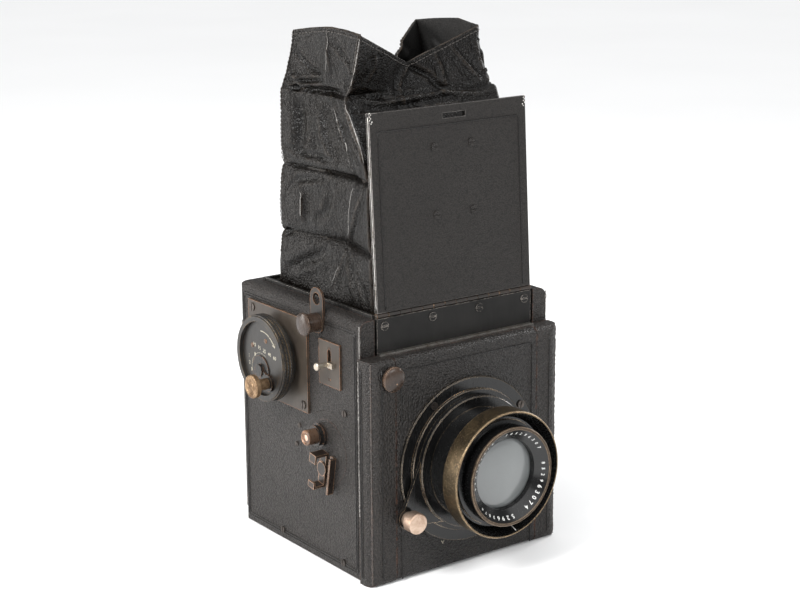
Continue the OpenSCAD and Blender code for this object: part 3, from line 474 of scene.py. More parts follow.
FLOOR_HALF, FLOOR_Z = 6, -0.0002
floor_mesh = bpy.data.meshes.new("floor")
corners = [(x * FLOOR_HALF, y * FLOOR_HALF, FLOOR_Z) for x, y in ((-1, -1), (1, -1), (1, 1), (-1, 1))]
floor_mesh.from_pydata(corners, [], [(0, 1, 2, 3)])
floor_mesh.materials.append(floor_material())
floor = linked("floor", floor_mesh)

LOOKS = [  # a material and the CAD nodes that wear it
    (body_leather, "body_shell front_frame"),
    (panel_leather, "lens_panel"),
    (lid_leather, "lid"),
    (plain_leather, "lid_screws"),
    (wood_material(), "base_board"),
    (cloth_material(), "shutter_curtain"),
    (mirror_material(), "mirror_glass"),
    (enamel, "screen_frame speed_arm release_boss mirror_frame back_frame plate_holder"),
    (board_enamel, "hinge_board hinge_board_screws"),
    (hinge_enamel, "hinge_leaf_fixed hinge_leaf_lid"),
    (tray_enamel, "hood_tray dark_slide"),
    (plate_enamel, "shutter_plate selector_plate"),
    (dial_enamel, "winding_drum dial_face"),
    (lug_enamel, "strap_lugs"),
    (lens_enamel, "lens_flange focus_ring lens_barrel rear_cell"),
    (dome_bronze, "strap_studs panel_lock_knob"),
    (lever_bronze, "release_lever lever_guard"),
    (aperture_bronze, "aperture_ring"),
    (cell_bronze, "front_cell"),
    (worn_copper, "release_plunger"),
    (brass, "tripod_bush"),
    (dull_brass, "speed_knob"),
    (pink_nickel, "focus_knob"),
    (pale_metal, "selector_pin"),
    (steel, "ledge_strip hinge_pin winding_shaft mirror_pivot upper_roller lower_roller"),
    (dark_screws, "side_screws flange_screws back_screws"),
    (blade_steel, " ".join(f"iris_blade_{k}" for k in range(1, 7))),
    (front_optic, "front_glass"),
    (rear_optic, "rear_glass"),
    (ground_glass, "focusing_screen"),
]

for material, node_names in LOOKS:
    for node_name in node_names.split():
        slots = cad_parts[node_name].data.materials
        slots.clear()
        slots.append(material)


# ---------- building helpers ----------

def add_mesh(name, verts, faces, material, body, smooth=True, slot=None):
    mesh = bpy.data.meshes.new(name)
    mesh.from_pydata([tuple(v) for v in verts], [], faces)
    mesh.validate()
    mesh.update()
    o = linked(name, mesh)
    mesh.materials.append(material)
    for p in mesh.polygons:
        p.use_smooth = smooth
    if body:
        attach(o, body)
    return o


def tube(path, radius, sides=8, closed=False):
    """Vertices and faces of a round tube along a path of points, with domed ends when open."""
    pts = [Vector(p) for p in path]
    n = len(pts)
    rings, faces = [], []
    side = None
    for i, p in enumerate(pts):
        a = pts[(i - 1) % n] if closed or i else p
        b = pts[(i + 1) % n] if closed or i < n - 1 else p
        d = (b - a).normalized()
        if side is None:
            side = d.orthogonal().normalized()
        side = (side - d * side.dot(d)).normalized()
        up = d.cross(side)
        for s in range(sides):
            t = 2 * math.pi * s / sides
            r = radius[i] if isinstance(radius, list) else radius
            rings.append(p + r * (math.cos(t) * side + math.sin(t) * up))
    for i in range(n if closed else n - 1):
        for s in range(sides):
            j, u = (i + 1) % n, (s + 1) % sides
            faces.append((i * sides + s, i * sides + u, j * sides + u, j * sides + s))
    if not closed:
        faces.append(tuple(range(sides - 1, -1, -1)))
        faces.append(tuple((n - 1) * sides + s for s in range(sides)))
    return rings, faces


class Parts:
    """Gathers many small shapes into one mesh."""

    def __init__(self):
        self.v, self.f = [], []

    def add(self, verts, faces):
        k = len(self.v)
        self.v += list(verts)
        self.f += [tuple(i + k for i in f) for f in faces]

    def line(self, path, radius, sides=6, closed=False):
        self.add(*tube(path, radius, sides, closed))

    def build(self, name, material, body, slot=None, smooth=True):
        return add_mesh(name, self.v, self.f, material, body, smooth, slot)


def dense(points, closed=False, step=0.004):
    """Splits long straight runs so that a tube follows its corners."""
    out = []
    n = len(points)
    for i in range(n if closed else n - 1):
        a, b = Vector(points[i]), Vector(points[(i + 1) % n])
        k = max(1, round((b - a).length / step))
        out += [a.lerp(b, j / k) for j in range(k)]
    if not closed:
        out.append(Vector(points[-1]))
    return out


# where the CAD puts things
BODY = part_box("body_shell")
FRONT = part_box("front_frame")
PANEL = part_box("lens_panel")
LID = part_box("lid")
Y_SEAM = FRONT[1][1]
X_WALL = BODY[1][0]
LENS = Vector((0, FRONT[0][1], LENS_Z))


# ---------- the leather hood ----------

LEATHER = 0.0011  # its thickness


def table(text):
    """The rows of numbers in a text."""
    return [[float(v) for v in line.split()] for line in text.strip().splitlines()]


def paths(text, lead):
    """Rows of lead numbers and then a path of points, as (path, *numbers)."""
    return [([r[k:k + 3] for k in range(lead, len(r), 3)], *r[:lead]) for r in table(text)]


# Each row of the control net, from the tray up, in mm: height, then for the left side and the right side
# front corner x y, mid fold x y, rear corner x y, then how far the front and rear middles fold in.
HOOD_ROWS = table("""
112.6  43.2 -41.4  43.2 8  43.2 43  43.2 -41.4  43.2 8  43.2 43  0 0
121  43.3 -41.4  43 8  43.2 42.4  43.3 -41.4  43 8  43.2 42.4  0.3 0.5
127.5  43.4 -41.4  42.4 6  43.2 40.4  43.4 -41.4  42.6 6  43.2 40.4  0.4 1.5
134  44.8 -42.4  41 1  44.9 37.6  44.8 -42.4  42.2 1  44.8 37.8  0.4 3
145  45.4 -42.2  39.4 -6  45.5 36  45.4 -42  40.8 -6  45.2 36.4  0.6 5
154.6  45.3 -41.8  38.4 -12  45.4 35  45.3 -41.6  40.2 -12  45.2 35.3  0.8 5
156.8  43.4 -41.5  35.4 -13.5  44 33.8  43.4 -41.3  37.4 -13  44.2 34.4  1.2 1.5
159  45.5 -41.4  38.4 -14  45.6 34.6  45.5 -41.2  39.8 -13.5  45.2 35  0.9 5
173  46 -40.8  40.6 -17.5  46.2 34.2  45.8 -40.6  42 -15  45.8 34.6  0.7 6.5
187.8  45.5 -40.2  39.8 -21  45.8 33.2  45.4 -39.9  41 -17  45.5 33.8  1 5.5
190  43.4 -39.9  36.8 -22  44.2 32.2  43.8 -39.6  38.4 -17.5  44.6 33  1.5 2
192.2  45.4 -39.6  39.8 -21  45.7 32.8  45.2 -39  40.8 -17.5  45.3 33.4  1.4 5.5
206  45.2 -35.6  38.6 -13.5  45.9 32.4  45.2 -34.5  39.8 -14  45.4 33.4  2.5 7
218  44.4 -25.4  38 -6  46.1 32  44.8 -27  39 -10  45.5 33.4  3.5 9
225.8  43.8 -20.6  38.4 -2.6  46.2 31.8  44.2 -23.6  39.2 -8  45.4 33.6  1 8
228  41.8 -19.2  36.2 -1.6  45.4 31.2  41.4 -21.2  37 -7  44.6 33.2  3.5 5
230.6  43.2 -24  41.2 -2.4  45.4 29.8  42.9 -19.4  40.8 -4  44 34.2  5 9
238  43.6 -27.2  43.6 -4.4  44.8 28  42.8 -17  41.8 -2  43 35.4  8 14
248  44.3 -31.4  44.6 -7.2  44.4 25  43.2 -12.8  42.6 2  41.6 36.4  12 21
""")
# The rim, in the same order round the hood as a row: each corner and middle has its own height.
HOOD_RIM = [(-45.2, -35.6, 257.9), (-43.4, -22, 258.9), (-44.4, -8, 259.4), (-42.4, 8, 257.6),
            (-44.2, 22.8, 255.2), (-20, 18.5, 247.2), (10.5, 12.5, 239.2), (19.6, 20.2, 248.7),
            (40, 37.1, 253.4), (40.4, 21, 255.6), (42.2, 4.5, 256.7), (42.2, -3, 255.4),
            (43.2, -10.4, 254.4), (20, -12.6, 247.2), (-2.6, -13.0, 240.2), (-24, -24.6, 249.2)]
# How sharp the edges are along a row, and up a column of the net.
FOLD_ROWS = {6: 1.0, 10: 1.0, 15: 0.8, 5: 0.2, 7: 0.2, 9: 0.3, 11: 0.3, 14: 0.6, 16: 0.6}
SEAMS = {0: 0.85, 4: 0.75, 8: 0.75, 12: 0.8}
MID_FOLDS = {2: 0.85, 10: 0.7, 6: 0.4, 14: 0.4}
NECK, TOP = 228.0, 259.5  # between these heights the rows follow the rim's own height
NECK_INDEX = 15
RIM_BULGE = (-1.0, 1.6)  # how far the rear and the front stand off the straight line to the rim
SIDE_PINCH = 0.1


def hood_row(row):
    """The 16 points of one row, from the left front corner round by the rear to the front."""
    z, *xy, front_in, rear_in = row
    sides = list(zip(xy[::2], xy[1::2]))
    left = [Vector((-x, y)) for x, y in sides[:3]]
    right = [Vector(p) for p in sides[3:]]
    front = (left[0] + right[0]) / 2 + Vector((0, front_in))
    rear = Vector((2, (left[2].y + right[2].y) / 2 - rear_in))
    keys = [*left, rear, *reversed(right), front]
    out = []
    for k, a in enumerate(keys):
        out += [a, (a + keys[(k + 1) % 8]) / 2]
    out = [Vector((p.x, p.y, z)) for p in out]
    up = (z - NECK) / (TOP - NECK)
    if up > 0:
        for c, rim in enumerate(HOOD_RIM):
            out[c].z = NECK + up * (rim[2] - NECK)
            if c % 8 in (5, 6, 7):
                low = NECK_ROW[c]
                out[c].x = low.x + up * (rim[0] - low.x)
                out[c].y = low.y + up * (rim[1] - low.y) + RIM_BULGE[c > 8] * math.sin(math.pi * up)
            elif c % 2:
                out[c].x *= 1 - SIDE_PINCH * math.sin(math.pi * min(1.0, up * 1.3))
    return out


NECK_ROW = hood_row(HOOD_ROWS[NECK_INDEX])


# Creases that cross the cells, in mm: width and depth, then the points. A negative depth stands out.
LEFT_CREASES = paths("""
1.5 -1  -39 -15 160  -41 -23 168  -43 -30 178  -43.5 -36 188
1.6 0.8  -39 -15 154  -41 -22 144  -43 -30 133
1 -0.9  -39 -12 153  -41 -9 142  -42 -5 132
1.8 0.6  -40 -20 150  -43 -29 142  -44 -36 136
1.1 -1  -44 17 163  -44.5 16 172  -44 17 181
1.8 0.7  -44 6 165  -43 -2 172  -43 -5 184
3.2 1.3  -44 18.5 195  -44 17.5 212  -45 19 223
2.4 -0.9  -42 -6 196  -42 3 206  -42 6 218
1 -0.8  -40 -22 194  -39 -14 204  -38 -7 216  -38 -2.5 225
2.6 0.9  -42 -30 196  -42 -22 208  -42 -12 219
0.9 -0.7  -45 -39 198  -45 -33 208  -44.5 -25 218  -43.8 -20.5 224
2 -0.8  -39 -1.5 227  -41 -14 216  -43 -25 208  -45 -36 200
1 0.8  -45 26 231  -43 12 232  -40 0 234
1.3 0.7  -44 20 245  -42 10 238  -41 0 236
1.4 0.7  -42 -12 252  -42.5 -22 244  -43.4 -27 237
0.8 -0.5  -40 -6 238  -42.5 -7 248  -43.5 -8 258
2.4 0.9  -45 29 137  -43 18 143  -41 2 150
1.6 0.6  -45 28 178  -44 18 184  -41 0 187
1.5 0.7  -45 27 199  -44 12 197  -41 -6 196
""", 2)
FRONT_CREASES = paths("""
1.3 1  -41 -22 231  -25 -24 227  -8 -22 230  10 -21 229
1.6 -0.9  -38 -27 222  -20 -26 218  0 -24 220  20 -26 221
1.2 -1  -2 -13 239  -8 -18 233  -12 -22 225  -8 -28 214
1.3 1  -2 -13 239  8 -17 234  14 -20 228
1.5 0.9  8 -20 231  20 -21 227  34 -22 225  41 -22 227
1.2 -0.8  14 -13 243  17 -16 236  16 -20 230
1.4 0.8  -30 -25 222  -33 -30 212  -36 -34 204
1.4 0.9  -6 -22 226  2 -28 216  4 -32 208
1.4 -0.8  24 -14 246  30 -16 238  36 -19 230
1.4 -0.7  -30 -27 250  -28 -25 240  -32 -24 231
""", 2)


def mirrored(creases, dy, dz):
    return [([(-x, y + dy, z + dz) for x, y, z in path], width, depth) for path, width, depth in creases]


def rear_creases():
    """Loose creases across the back, in a fan from each end of each fold."""
    out = []
    for z, y in ((156, 29), (190, 27), (228, 22)):
        for side in (-1, 1):
            for dz in (-17, -8, 9, 18):
                a = (side * 44, y + 1, z)
                b = (side * (30 + rng.uniform(-6, 4)), y - 2, z + dz * 0.6 + rng.uniform(-2, 2))
                c = (side * (14 + rng.uniform(-8, 6)), y - 4, z + dz + rng.uniform(-3, 3))
                out.append(((a, b, c), 1.3 + rng.random(), rng.choice((-0.6, 0.7, 0.8))))
    return out


def snapped(path, tree, count=12):
    """A path in mm laid onto the surface, as count + 1 points."""
    points = np.array(path, float) * MM
    out = []
    for t in np.linspace(0, len(points) - 1, count + 1):
        k = min(int(t), len(points) - 2)
        out.append(tree.find(Vector(points[k] + (points[k + 1] - points[k]) * (t - k)))[0])
    out = np.array(out)
    out[1:-1] = (out[:-2] + out[1:-1] + out[2:]) / 3
    return out


def crease_offset(co, creases, tree):
    """How far each point moves along its normal for the creases near it."""
    whole = np.zeros(len(co))
    for path, width, depth in creases:
        pts = snapped(path, tree)
        reach = width * MM * 4
        close = np.all((co > pts.min(axis=0) - reach) & (co < pts.max(axis=0) + reach), axis=1)
        whole[close] += crease_depth(co[close], pts, width, depth)
    return whole


def crease_depth(co, pts, width, depth):
    """One crease: a groove with a low swell on each side, which fades out towards both ends."""
    near = np.full(len(co), 1e9)
    fade = np.zeros(len(co))
    total = len(pts) - 1
    for k in range(total):
        a, b = pts[k], pts[k + 1]
        d = b - a
        t = np.clip(((co - a) @ d) / max(d @ d, 1e-12), 0, 1)
        dist = np.linalg.norm(co - (a + t[:, None] * d), axis=1)
        along = (k + t) / total
        better = dist < near
        near = np.where(better, dist, near)
        fade = np.where(better, np.sin(np.pi * np.clip(along * 0.86 + 0.07, 0, 1)) ** 0.6, fade)
    s = near / (width * MM)
    return -depth * MM * fade * (np.exp(-s ** 2) - 0.35 * np.exp(-((s - 2.1) / 1.1) ** 2))


def face_tree(mesh):
    """The mesh's points, for finding the nearest."""
    tree = KDTree(len(mesh.vertices))
    for v in mesh.vertices:
        tree.insert(v.co, v.index)
    tree.balance()
    return tree


def subdivided(mesh, levels):
    o = linked("control", mesh)
    mod = o.modifiers.new("sub", "SUBSURF")
    mod.levels = mod.render_levels = levels
    mod.boundary_smooth = "PRESERVE_CORNERS"
    return baked(o)


HOOD_LEVELS = 4
CREASE_GAIN = 1.6
FOOT_TOP, FOOT_BLEND = 0.1275, 0.012  # the tray holds the leather still below this height
LID_Y, LID_TOP, LID_HOLD = -0.036, 0.205, 0.3  # behind the lid the leather moves by only this share


def hood_surface():
    """The outer face of the leather as one subdivided sheet, folded and creased."""
    grid = [hood_row(r) for r in HOOD_ROWS] + [[Vector(p) for p in HOOD_RIM]]
    for row in grid[3:-1]:
        for p in row:
            p += Vector((rng.uniform(-0.35, 0.35), rng.uniform(-0.35, 0.35), rng.uniform(-0.5, 0.5)))
    bm = bmesh.new()
    crease = bm.edges.layers.float.new("crease_edge")
    corner = bm.verts.layers.float.new("crease_vert")
    verts = [[bm.verts.new(p * MM) for p in row] for row in grid]
    for r in range(len(grid) - 1):
        for c in range(16):
            d = (c + 1) % 16
            bm.faces.new((verts[r][d], verts[r][c], verts[r + 1][c], verts[r + 1][d]))
    for r in range(len(grid)):
        for c in range(16):
            if r in FOLD_ROWS:
                bm.edges.get((verts[r][c], verts[r][(c + 1) % 16]))[crease] = FOLD_ROWS[r]
            if r + 1 < len(grid):
                bm.edges.get((verts[r][c], verts[r + 1][c]))[crease] = SEAMS.get(c, MID_FOLDS.get(c, 0))
    for c in range(0, 16, 2):
        verts[-1][c][corner] = 1.0 if c in (0, 6, 8, 14) else 0.7
    mesh = bpy.data.meshes.new("hood_net")
    bm.to_mesh(mesh)
    bm.free()
    return subdivided(mesh, HOOD_LEVELS)


def hood_wrinkle(p):
    """The leather's own unevenness at p, in mm: broad swells, sharp ridges in them and a fine ripple."""
    big = noise.fractal(p * 42 + Vector((3, 1, 7)), 1.0, 2.0, 3)
    ridge = abs(noise.noise(Vector((p.x * 130, p.y * 130, p.z * 75)) + Vector((9, 4, 2))))
    ripple = noise.fractal(p * 210, 0.9, 2.0, 3)
    return 0.55 * big - 0.6 * max(0.0, 0.16 - ridge) / 0.16 * abs(big) + 0.09 * ripple


def read_points(mesh, field):
    out = np.empty(len(mesh.vertices) * 3)
    mesh.vertices.foreach_get(field, out)
    return out.reshape(-1, 3)


def build_hood():
    """The hood with its thickness, and the outer face alone, which the stitches and folds lie on."""
    mesh = hood_surface()
    co = read_points(mesh, "co")
    normal = read_points(mesh, "normal")
    if np.mean(np.sum(normal[:, :2] * (co[:, :2] + np.array((0, 0.003))), axis=1)) < 0:
        mesh.flip_normals()
        normal = -normal
    creases = LEFT_CREASES + mirrored(LEFT_CREASES, 1.5, -2.0) + FRONT_CREASES + rear_creases()
    move = CREASE_GAIN * crease_offset(co, creases, face_tree(mesh))
    move += np.array([hood_wrinkle(Vector(p)) for p in co]) * MM
    free = np.clip((co[:, 2] - FOOT_TOP) / FOOT_BLEND, 0, 1)
    free = np.where((co[:, 1] < LID_Y) & (co[:, 2] < LID_TOP), free * LID_HOLD, free)
    co += normal * (move * free)[:, None]
    mesh.vertices.foreach_set("co", co.reshape(-1))
    mesh.update()
    o = linked("hood_outer", mesh)
    mesh.materials.clear()
    mesh.materials.append(hood_leather)
    mesh.materials.append(hood_lining)
    for p in mesh.polygons:
        p.use_smooth = True
        p.material_index = 0
    thick = o.modifiers.new("thickness", "SOLIDIFY")
    thick.thickness = LEATHER
    thick.offset = -1
    thick.material_offset = 1
    thick.material_offset_rim = 0
    return linked("folding_hood", baked(o)), mesh


hood, hood_face = build_hood()
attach(hood, "body")
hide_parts("leather_hood")


STITCH_ROW = 4  # the corner stitches start at this row of the net
STITCH_LOW = 0.2  # and at the front corners above this height
STITCH_STEP = 0.0021
RIM_STEP = 0.0024
RIM_DROP = Vector((0, 0, -0.0022))
THREAD_R = 0.00022


def corner_points(column):
    """The net's points up one corner, as a polyline in metres."""
    rows = [hood_row(r)[column] for r in HOOD_ROWS[STITCH_ROW:]] + [Vector(HOOD_RIM[column])]
    return dense([p * MM for p in rows], step=STITCH_STEP)


def build_stitches():
    """One row of short thread stitches beside each sewn corner, and one under the rim."""
    tree = face_tree(hood_face)
    parts = Parts()

    def stitch(a, b):
        ends = []
        for p in (a, b):
            _, index, _ = tree.find(p)
            v = hood_face.vertices[index]
            ends.append((p + (v.co - p).dot(v.normal) * v.normal, v.normal))
        (p, n1), (q, n2) = ends
        mid = (p + q) / 2 + (n1 + n2) * 0.00016
        parts.line([p - n1 * 0.00012, p + n1 * 0.0001, mid, q + n2 * 0.0001, q - n2 * 0.00012], THREAD_R)

    for column, shift in ((0, 0.0013), (12, 0.0013), (4, -0.0013), (8, -0.0013)):
        points = [p + Vector((0, shift, 0)) for p in corner_points(column)]
        for a, b in zip(points, points[1:]):
            if a.z > STITCH_LOW or column in (4, 8):
                stitch(a.lerp(b, 0.12), a.lerp(b, 0.78))
    rim = dense([Vector(p) * MM for p in HOOD_RIM], closed=True, step=RIM_STEP)
    for a, b in zip(rim, rim[1:]):
        stitch(a.lerp(b, 0.14) + RIM_DROP, a.lerp(b, 0.76) + RIM_DROP)
    return parts.build("hood_stitching", thread, None, "hood_leather")


def thread_material():
    m = Mat("waxed_thread", Specular_IOR_Level=0.5)
    twist = m.noise(1800, 2, 0.5, 0.3, m.stretched(1, 1, 0.5))
    m.set("Base Color", m.mix(m.span(twist, 0.35, 0.65), (0.02, 0.017, 0.015), (0.075, 0.066, 0.058)))
    m.set("Roughness", m.span(m.noise(300), 0.3, 0.7, 0.4, 0.6))
    m.set("Normal", m.bump(twist, 0.00005, 0.6))
    return m.m


def beaded(path, radius, spread):
    """A bumpy tube along a path."""
    pts = dense(path, step=0.0007)
    return tube(pts, [radius * (1 + rng.uniform(-spread, spread)) for _ in pts])


# Fold edges polished by handling and given a painted highlight, in mm: the radius of the rubbed ridge, then the
# points.
RUBBED_HIGHLIT_FOLDS = paths("""
0.34  -43.8 -20.6 225  -44.4 -25.4 218  -45 -30.5 212  -45.2 -35.6 206  -45.3 -38.5 200
0.3  -43.2 -24 233  -43.6 -27.2 238  -44.3 -31.4 248  -45 -34.8 256
0.26  -37.5 -3.5 222  -38 -6 217  -38.6 -13.5 206  -39.4 -19 197  -38.5 -21.5 192
0.3  -45.5 17 166  -45.5 16.2 171  -45.6 16.6 178
0.16  -38.4 -14 161  -40.6 -17.5 173  -39.8 -20.6 185
0.16  -44 -8 258  -44.2 -7.2 248  -43.4 -4.4 239
0.16  -38.5 -12.5 153  -39.4 -7 145  -41 -3 136
""", 1)


def rubbed_highlit_folds():
    tree = face_tree(hood_face)
    parts = Parts()
    for path, radius in RUBBED_HIGHLIT_FOLDS:
        steps = dense(snapped(path, tree, 24), step=0.0008)
        radii = []
        for k in range(len(steps)):
            taper = math.sin(math.pi * (0.04 + 0.92 * k / (len(steps) - 1))) ** 0.5
            radii.append(radius * MM * taper * (1 + rng.uniform(-0.4, 0.4)))
        parts.add(*tube(steps, radii))
    return parts.build("fold_wear_and_highlights", wear_and_highlight_leather, None, "hood_leather")


thread = thread_material()
stitches = build_stitches()
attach(stitches, "body")
folds = rubbed_highlit_folds()
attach(folds, "body")
for soft in (hood, stitches, folds):
    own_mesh(soft)


# ---------- tooled lines in the leather ----------

LINE = 0.0003  # the radius of a tooled line
PROUD = 0.00002  # how far a line's middle stands off its face
CORNER = 0.0012  # the cut corners of the lines on the panel and the lid
REAR_X, REAR_Z = 0.0526, 0.1228  # the lines on the back
REAR_Y = BODY[1][1] + PROUD


def rectangle(plane, u0, v0, u1, v1, r=0.0015):
    """A rounded rectangle in (u, v), turned into points by plane(u, v)."""
    centres = (u1 - r, v1 - r), (u0 + r, v1 - r), (u0 + r, v0 + r), (u1 - r, v0 + r)
    out = []
    for quarter, (cu, cv) in enumerate(centres):
        for k in range(6):
            a = math.radians(90 * quarter + 18 * k)
            out.append(plane(cu + r * math.cos(a), cv + r * math.sin(a)))
    return out


def side_plane(sign):
    return lambda y, z: (sign * (X_WALL + PROUD), y, z)


HINGE = Vector((0, -0.0472, 0.1294))
LID_LEAN = math.radians(3.4)
LID_OUT = -0.00105 - PROUD  # its outer face, from the hinge's axis
LID_FOOT = 0.00135  # its lower edge, from the hinge's axis
LID_LENGTH = (LID[1][2] - HINGE.z) / math.cos(LID_LEAN)


def lid_point(x, h):
    """A point on the open lid's outer face, x across and h up the face."""
    y, z = LID_OUT, LID_FOOT + h
    c, s = math.cos(LID_LEAN), math.sin(LID_LEAN)
    return HINGE + Vector((x, y * c + z * s, z * c - y * s))


def arch(side, foot, top):
    """The corners of a line up one side, across the top and down the other side."""
    half = [(side, foot), (side, top - CORNER), (side - CORNER, top)]
    return [(-x, z) for x, z in half] + half[::-1]


def tooled_lines():
    body = Parts()
    line_top = FRONT[1][2] - 0.0045
    for sign in (-1, 1):
        for inset in (0.0034, 0.0047):
            pts = rectangle(side_plane(sign), Y_SEAM + inset, inset,
                            BODY[1][1] - inset, BODY[1][2] - 0.0021 - inset)
            body.line(dense(pts, True), LINE, closed=True)
        x = sign * (FRONT[1][0] + PROUD)
        for y in (Y_SEAM - 0.0017, Y_SEAM - 0.0029):
            body.line(dense([(x, y, 0.0035), (x, y, line_top)]), LINE)
    face = FRONT[0][1] - PROUD
    for sign in (-1, 1):
        x = sign * (FRONT[1][0] - 0.0068)
        body.line(dense([(x, face, 0.004), (x, face, line_top)]), LINE)
    for x in (-REAR_X, REAR_X):
        body.line(dense([(x, REAR_Y, 0.004), (x, REAR_Y, BODY[1][2] - 0.006)]), LINE)
    body.line(dense([(-REAR_X, REAR_Y, REAR_Z), (REAR_X, REAR_Y, REAR_Z)]), LINE)
    body.build("tooled_lines_body", tooled, "body", "body_leather")

    panel = Parts()
    corners = arch(PANEL[1][0] - 0.0043, PANEL[0][2] + 0.0005, PANEL[1][2] - 0.0062)
    panel.line(dense([(x, face, z) for x, z in corners]), LINE)
    panel.build("tooled_lines_panel", tooled, "lens_panel", "body_leather")

    lid = Parts()
    corners = arch(LID[1][0] - 0.0045, 0.0012, LID_LENGTH - 0.0102)
    lid.line(dense([lid_point(x, h) for x, h in corners]), LINE)
    lid.build("tooled_lines_lid", tooled, "lid", "body_leather")


# Dark leather for the raised tooled lines: its dark colour is a painted shade, standing in for the shade in an
# impressed groove.
tooled = leather("tooled_line_groove_shade", (0.0035, 0.003, 0.0028), (0.006, 0.005, 0.0045), 1300, 0.3,
    (0.01, 0.007, 0.006), depth=0.00005)
tooled_lines()


# ---------- welts: the bumpy turned edges of the covering ----------

CORNER_CUT = 0.00176  # how far in the middle of the front block's round corner lies
BLOCK_SEAM_FOOT = 0.034  # the pale seam welt beside the front block, a painted highlight, starts here
STRIP_R = 0.00017
STRIP_PUSH = Vector((0, 0.001, 0))  # from the lid's face to the middle of its edge
CHIPS = 7  # bright chips at each upper corner of the lid
# the swelling of the leather round the release: radius and height in mm
SWELL = [(14.6, 0.82), (15.3, 0.8), (16.6, 0.6), (18.0, 0.28), (19.4, 0.06), (20.4, -0.02), (20.4, -0.1),
         (14.6, -0.1), (14.6, 0.82)]
SWELL_AT = (-X_WALL, -0.02105, 0.0586)


def edge_welts():
    welts, seams = Parts(), Parts()
    top = FRONT[1][2] - 0.001
    for sign in (-1, 1):
        x, y = sign * (FRONT[1][0] - CORNER_CUT), FRONT[0][1] + CORNER_CUT
        welts.add(*beaded([(x, y, 0.001), (x, y, top)], 0.0004, 0.5))
        x, y = sign * (X_WALL + 0.0001), Y_SEAM + 0.0003
        seams.add(*beaded([(x, y, top), (x, y, BODY[1][2] - 0.002)], 0.00045, 0.55))
        x, y = sign * (FRONT[1][0] + 0.00005), Y_SEAM - 0.0006
        seams.add(*beaded([(x, y, BLOCK_SEAM_FOOT), (x, y, top)], 0.00036, 0.6))
    welts.build("corner_welts", welt_leather, "body", "body_leather")
    # The seam welts wear the pale leather: a painted highlight along the seams, partly rubbed wear.
    seams.build("seam_welts", wear_and_highlight_leather, "body", "body_leather")
    strip = Parts()
    for sign in (-1, 1):
        x = sign * LID[1][0]
        ends = [lid_point(x, h) + STRIP_PUSH for h in (0.0012, LID_LENGTH - 0.0032)]
        strip.line(dense(ends, step=0.002), STRIP_R, sides=8)
        for k in range(CHIPS):
            inward = 0.0004 + 0.0005 * (k % 2) + 0.0007 * (k > 4)
            spot = lid_point(x - sign * inward, LID_LENGTH - 0.0013 - 0.0008 * k)
            strip.add(*lathe([(0, 0.22), (0.2, 0.18), (0.36, -0.05)], spot, (0, -1, 0), 8))
    strip.build("lid_edge_strip", strip_metal, "lid", "steel")
    add_mesh("release_swell", *lathe(SWELL, SWELL_AT, (-1, 0, 0), 96), plain_leather, "body",
             slot="body_leather")


# ---------- numerals and marks ----------

def white_paint(name, color, missing):
    m = Mat(name, Specular_IOR_Level=0.4)
    gone = m.span(m.noise(900, 4, 0.7), missing, missing + 0.12)
    m.set("Base Color", m.mix(gone, color, [c * 0.2 for c in color]))
    m.set("Roughness", m.span(gone, 0, 1, 0.5, 0.35))
    m.set("Normal", m.bump(gone, 0.00002, 0.4))
    return m.m


dial_paint = white_paint("dial_paint", (0.42, 0.39, 0.31), 0.5)
lens_paint = white_paint("lens_paint", (0.72, 0.72, 0.7), 0.62)


GLYPH_DEPTH = 0.00006
CAP_HEIGHT = 0.7  # a numeral's height, as a share of the font's size


def glyph(text, height):
    """A mesh of generic numerals, centred, facing +Z."""
    curve = bpy.data.curves.new("glyph", "FONT")
    curve.body = text
    curve.size = height / CAP_HEIGHT
    curve.extrude = GLYPH_DEPTH / 2
    curve.offset = height * 0.012
    curve.resolution_u = 3
    curve.align_x = "CENTER"
    curve.align_y = "CENTER"
    mesh = baked(linked("glyph", curve))
    return [v.co.copy() for v in mesh.vertices], [tuple(p.vertices) for p in mesh.polygons]


def placed(verts, faces, origin, right, up):
    right, up = Vector(right).normalized(), Vector(up).normalized()
    out = right.cross(up)
    return [Vector(origin) + v.x * right + v.y * up + v.z * out for v in verts], faces


DRUM_AXIS = Vector((0, 0.02125, 0.097))
DIAL_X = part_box("dial_face")[0][0]
ARROW_R = 13.6  # the curved arrow, in mm
ARROW_FROM, ARROW_TO = 34, 96  # degrees
DIAL_SPEEDS = ("10", "15", "25", "40", "60")
DIAL_DIGITS = (("8", -7.0, 0.4), ("7", -6.2, -2.6), ("6", -0.4, 0.0), ("5", -0.2, -2.9), ("1", -12.6, -1.5),
               ("2", -12.2, -5.0), ("3", -10.6, -8.2), ("4", -7.8, -10.6), ("9", 8.6, -9.4))
DIAL_RING = (-1.5, -6.5, 8.6)  # centre u and v, radius
DIAL_RIVETS = ((3.0, 9.2), (-9.3, 4.6))


def on_dial(u, v, lift=0.0):
    """A point on the dial face: u towards the front of the camera, v up, in mm."""
    return Vector((DIAL_X - lift, DRUM_AXIS.y - u * MM, DRUM_AXIS.z + v * MM))


def dial_arc(u, v, r, degrees, lift):
    return [on_dial(u + r * math.cos(a), v + r * math.sin(a), lift) for a in map(math.radians, degrees)]


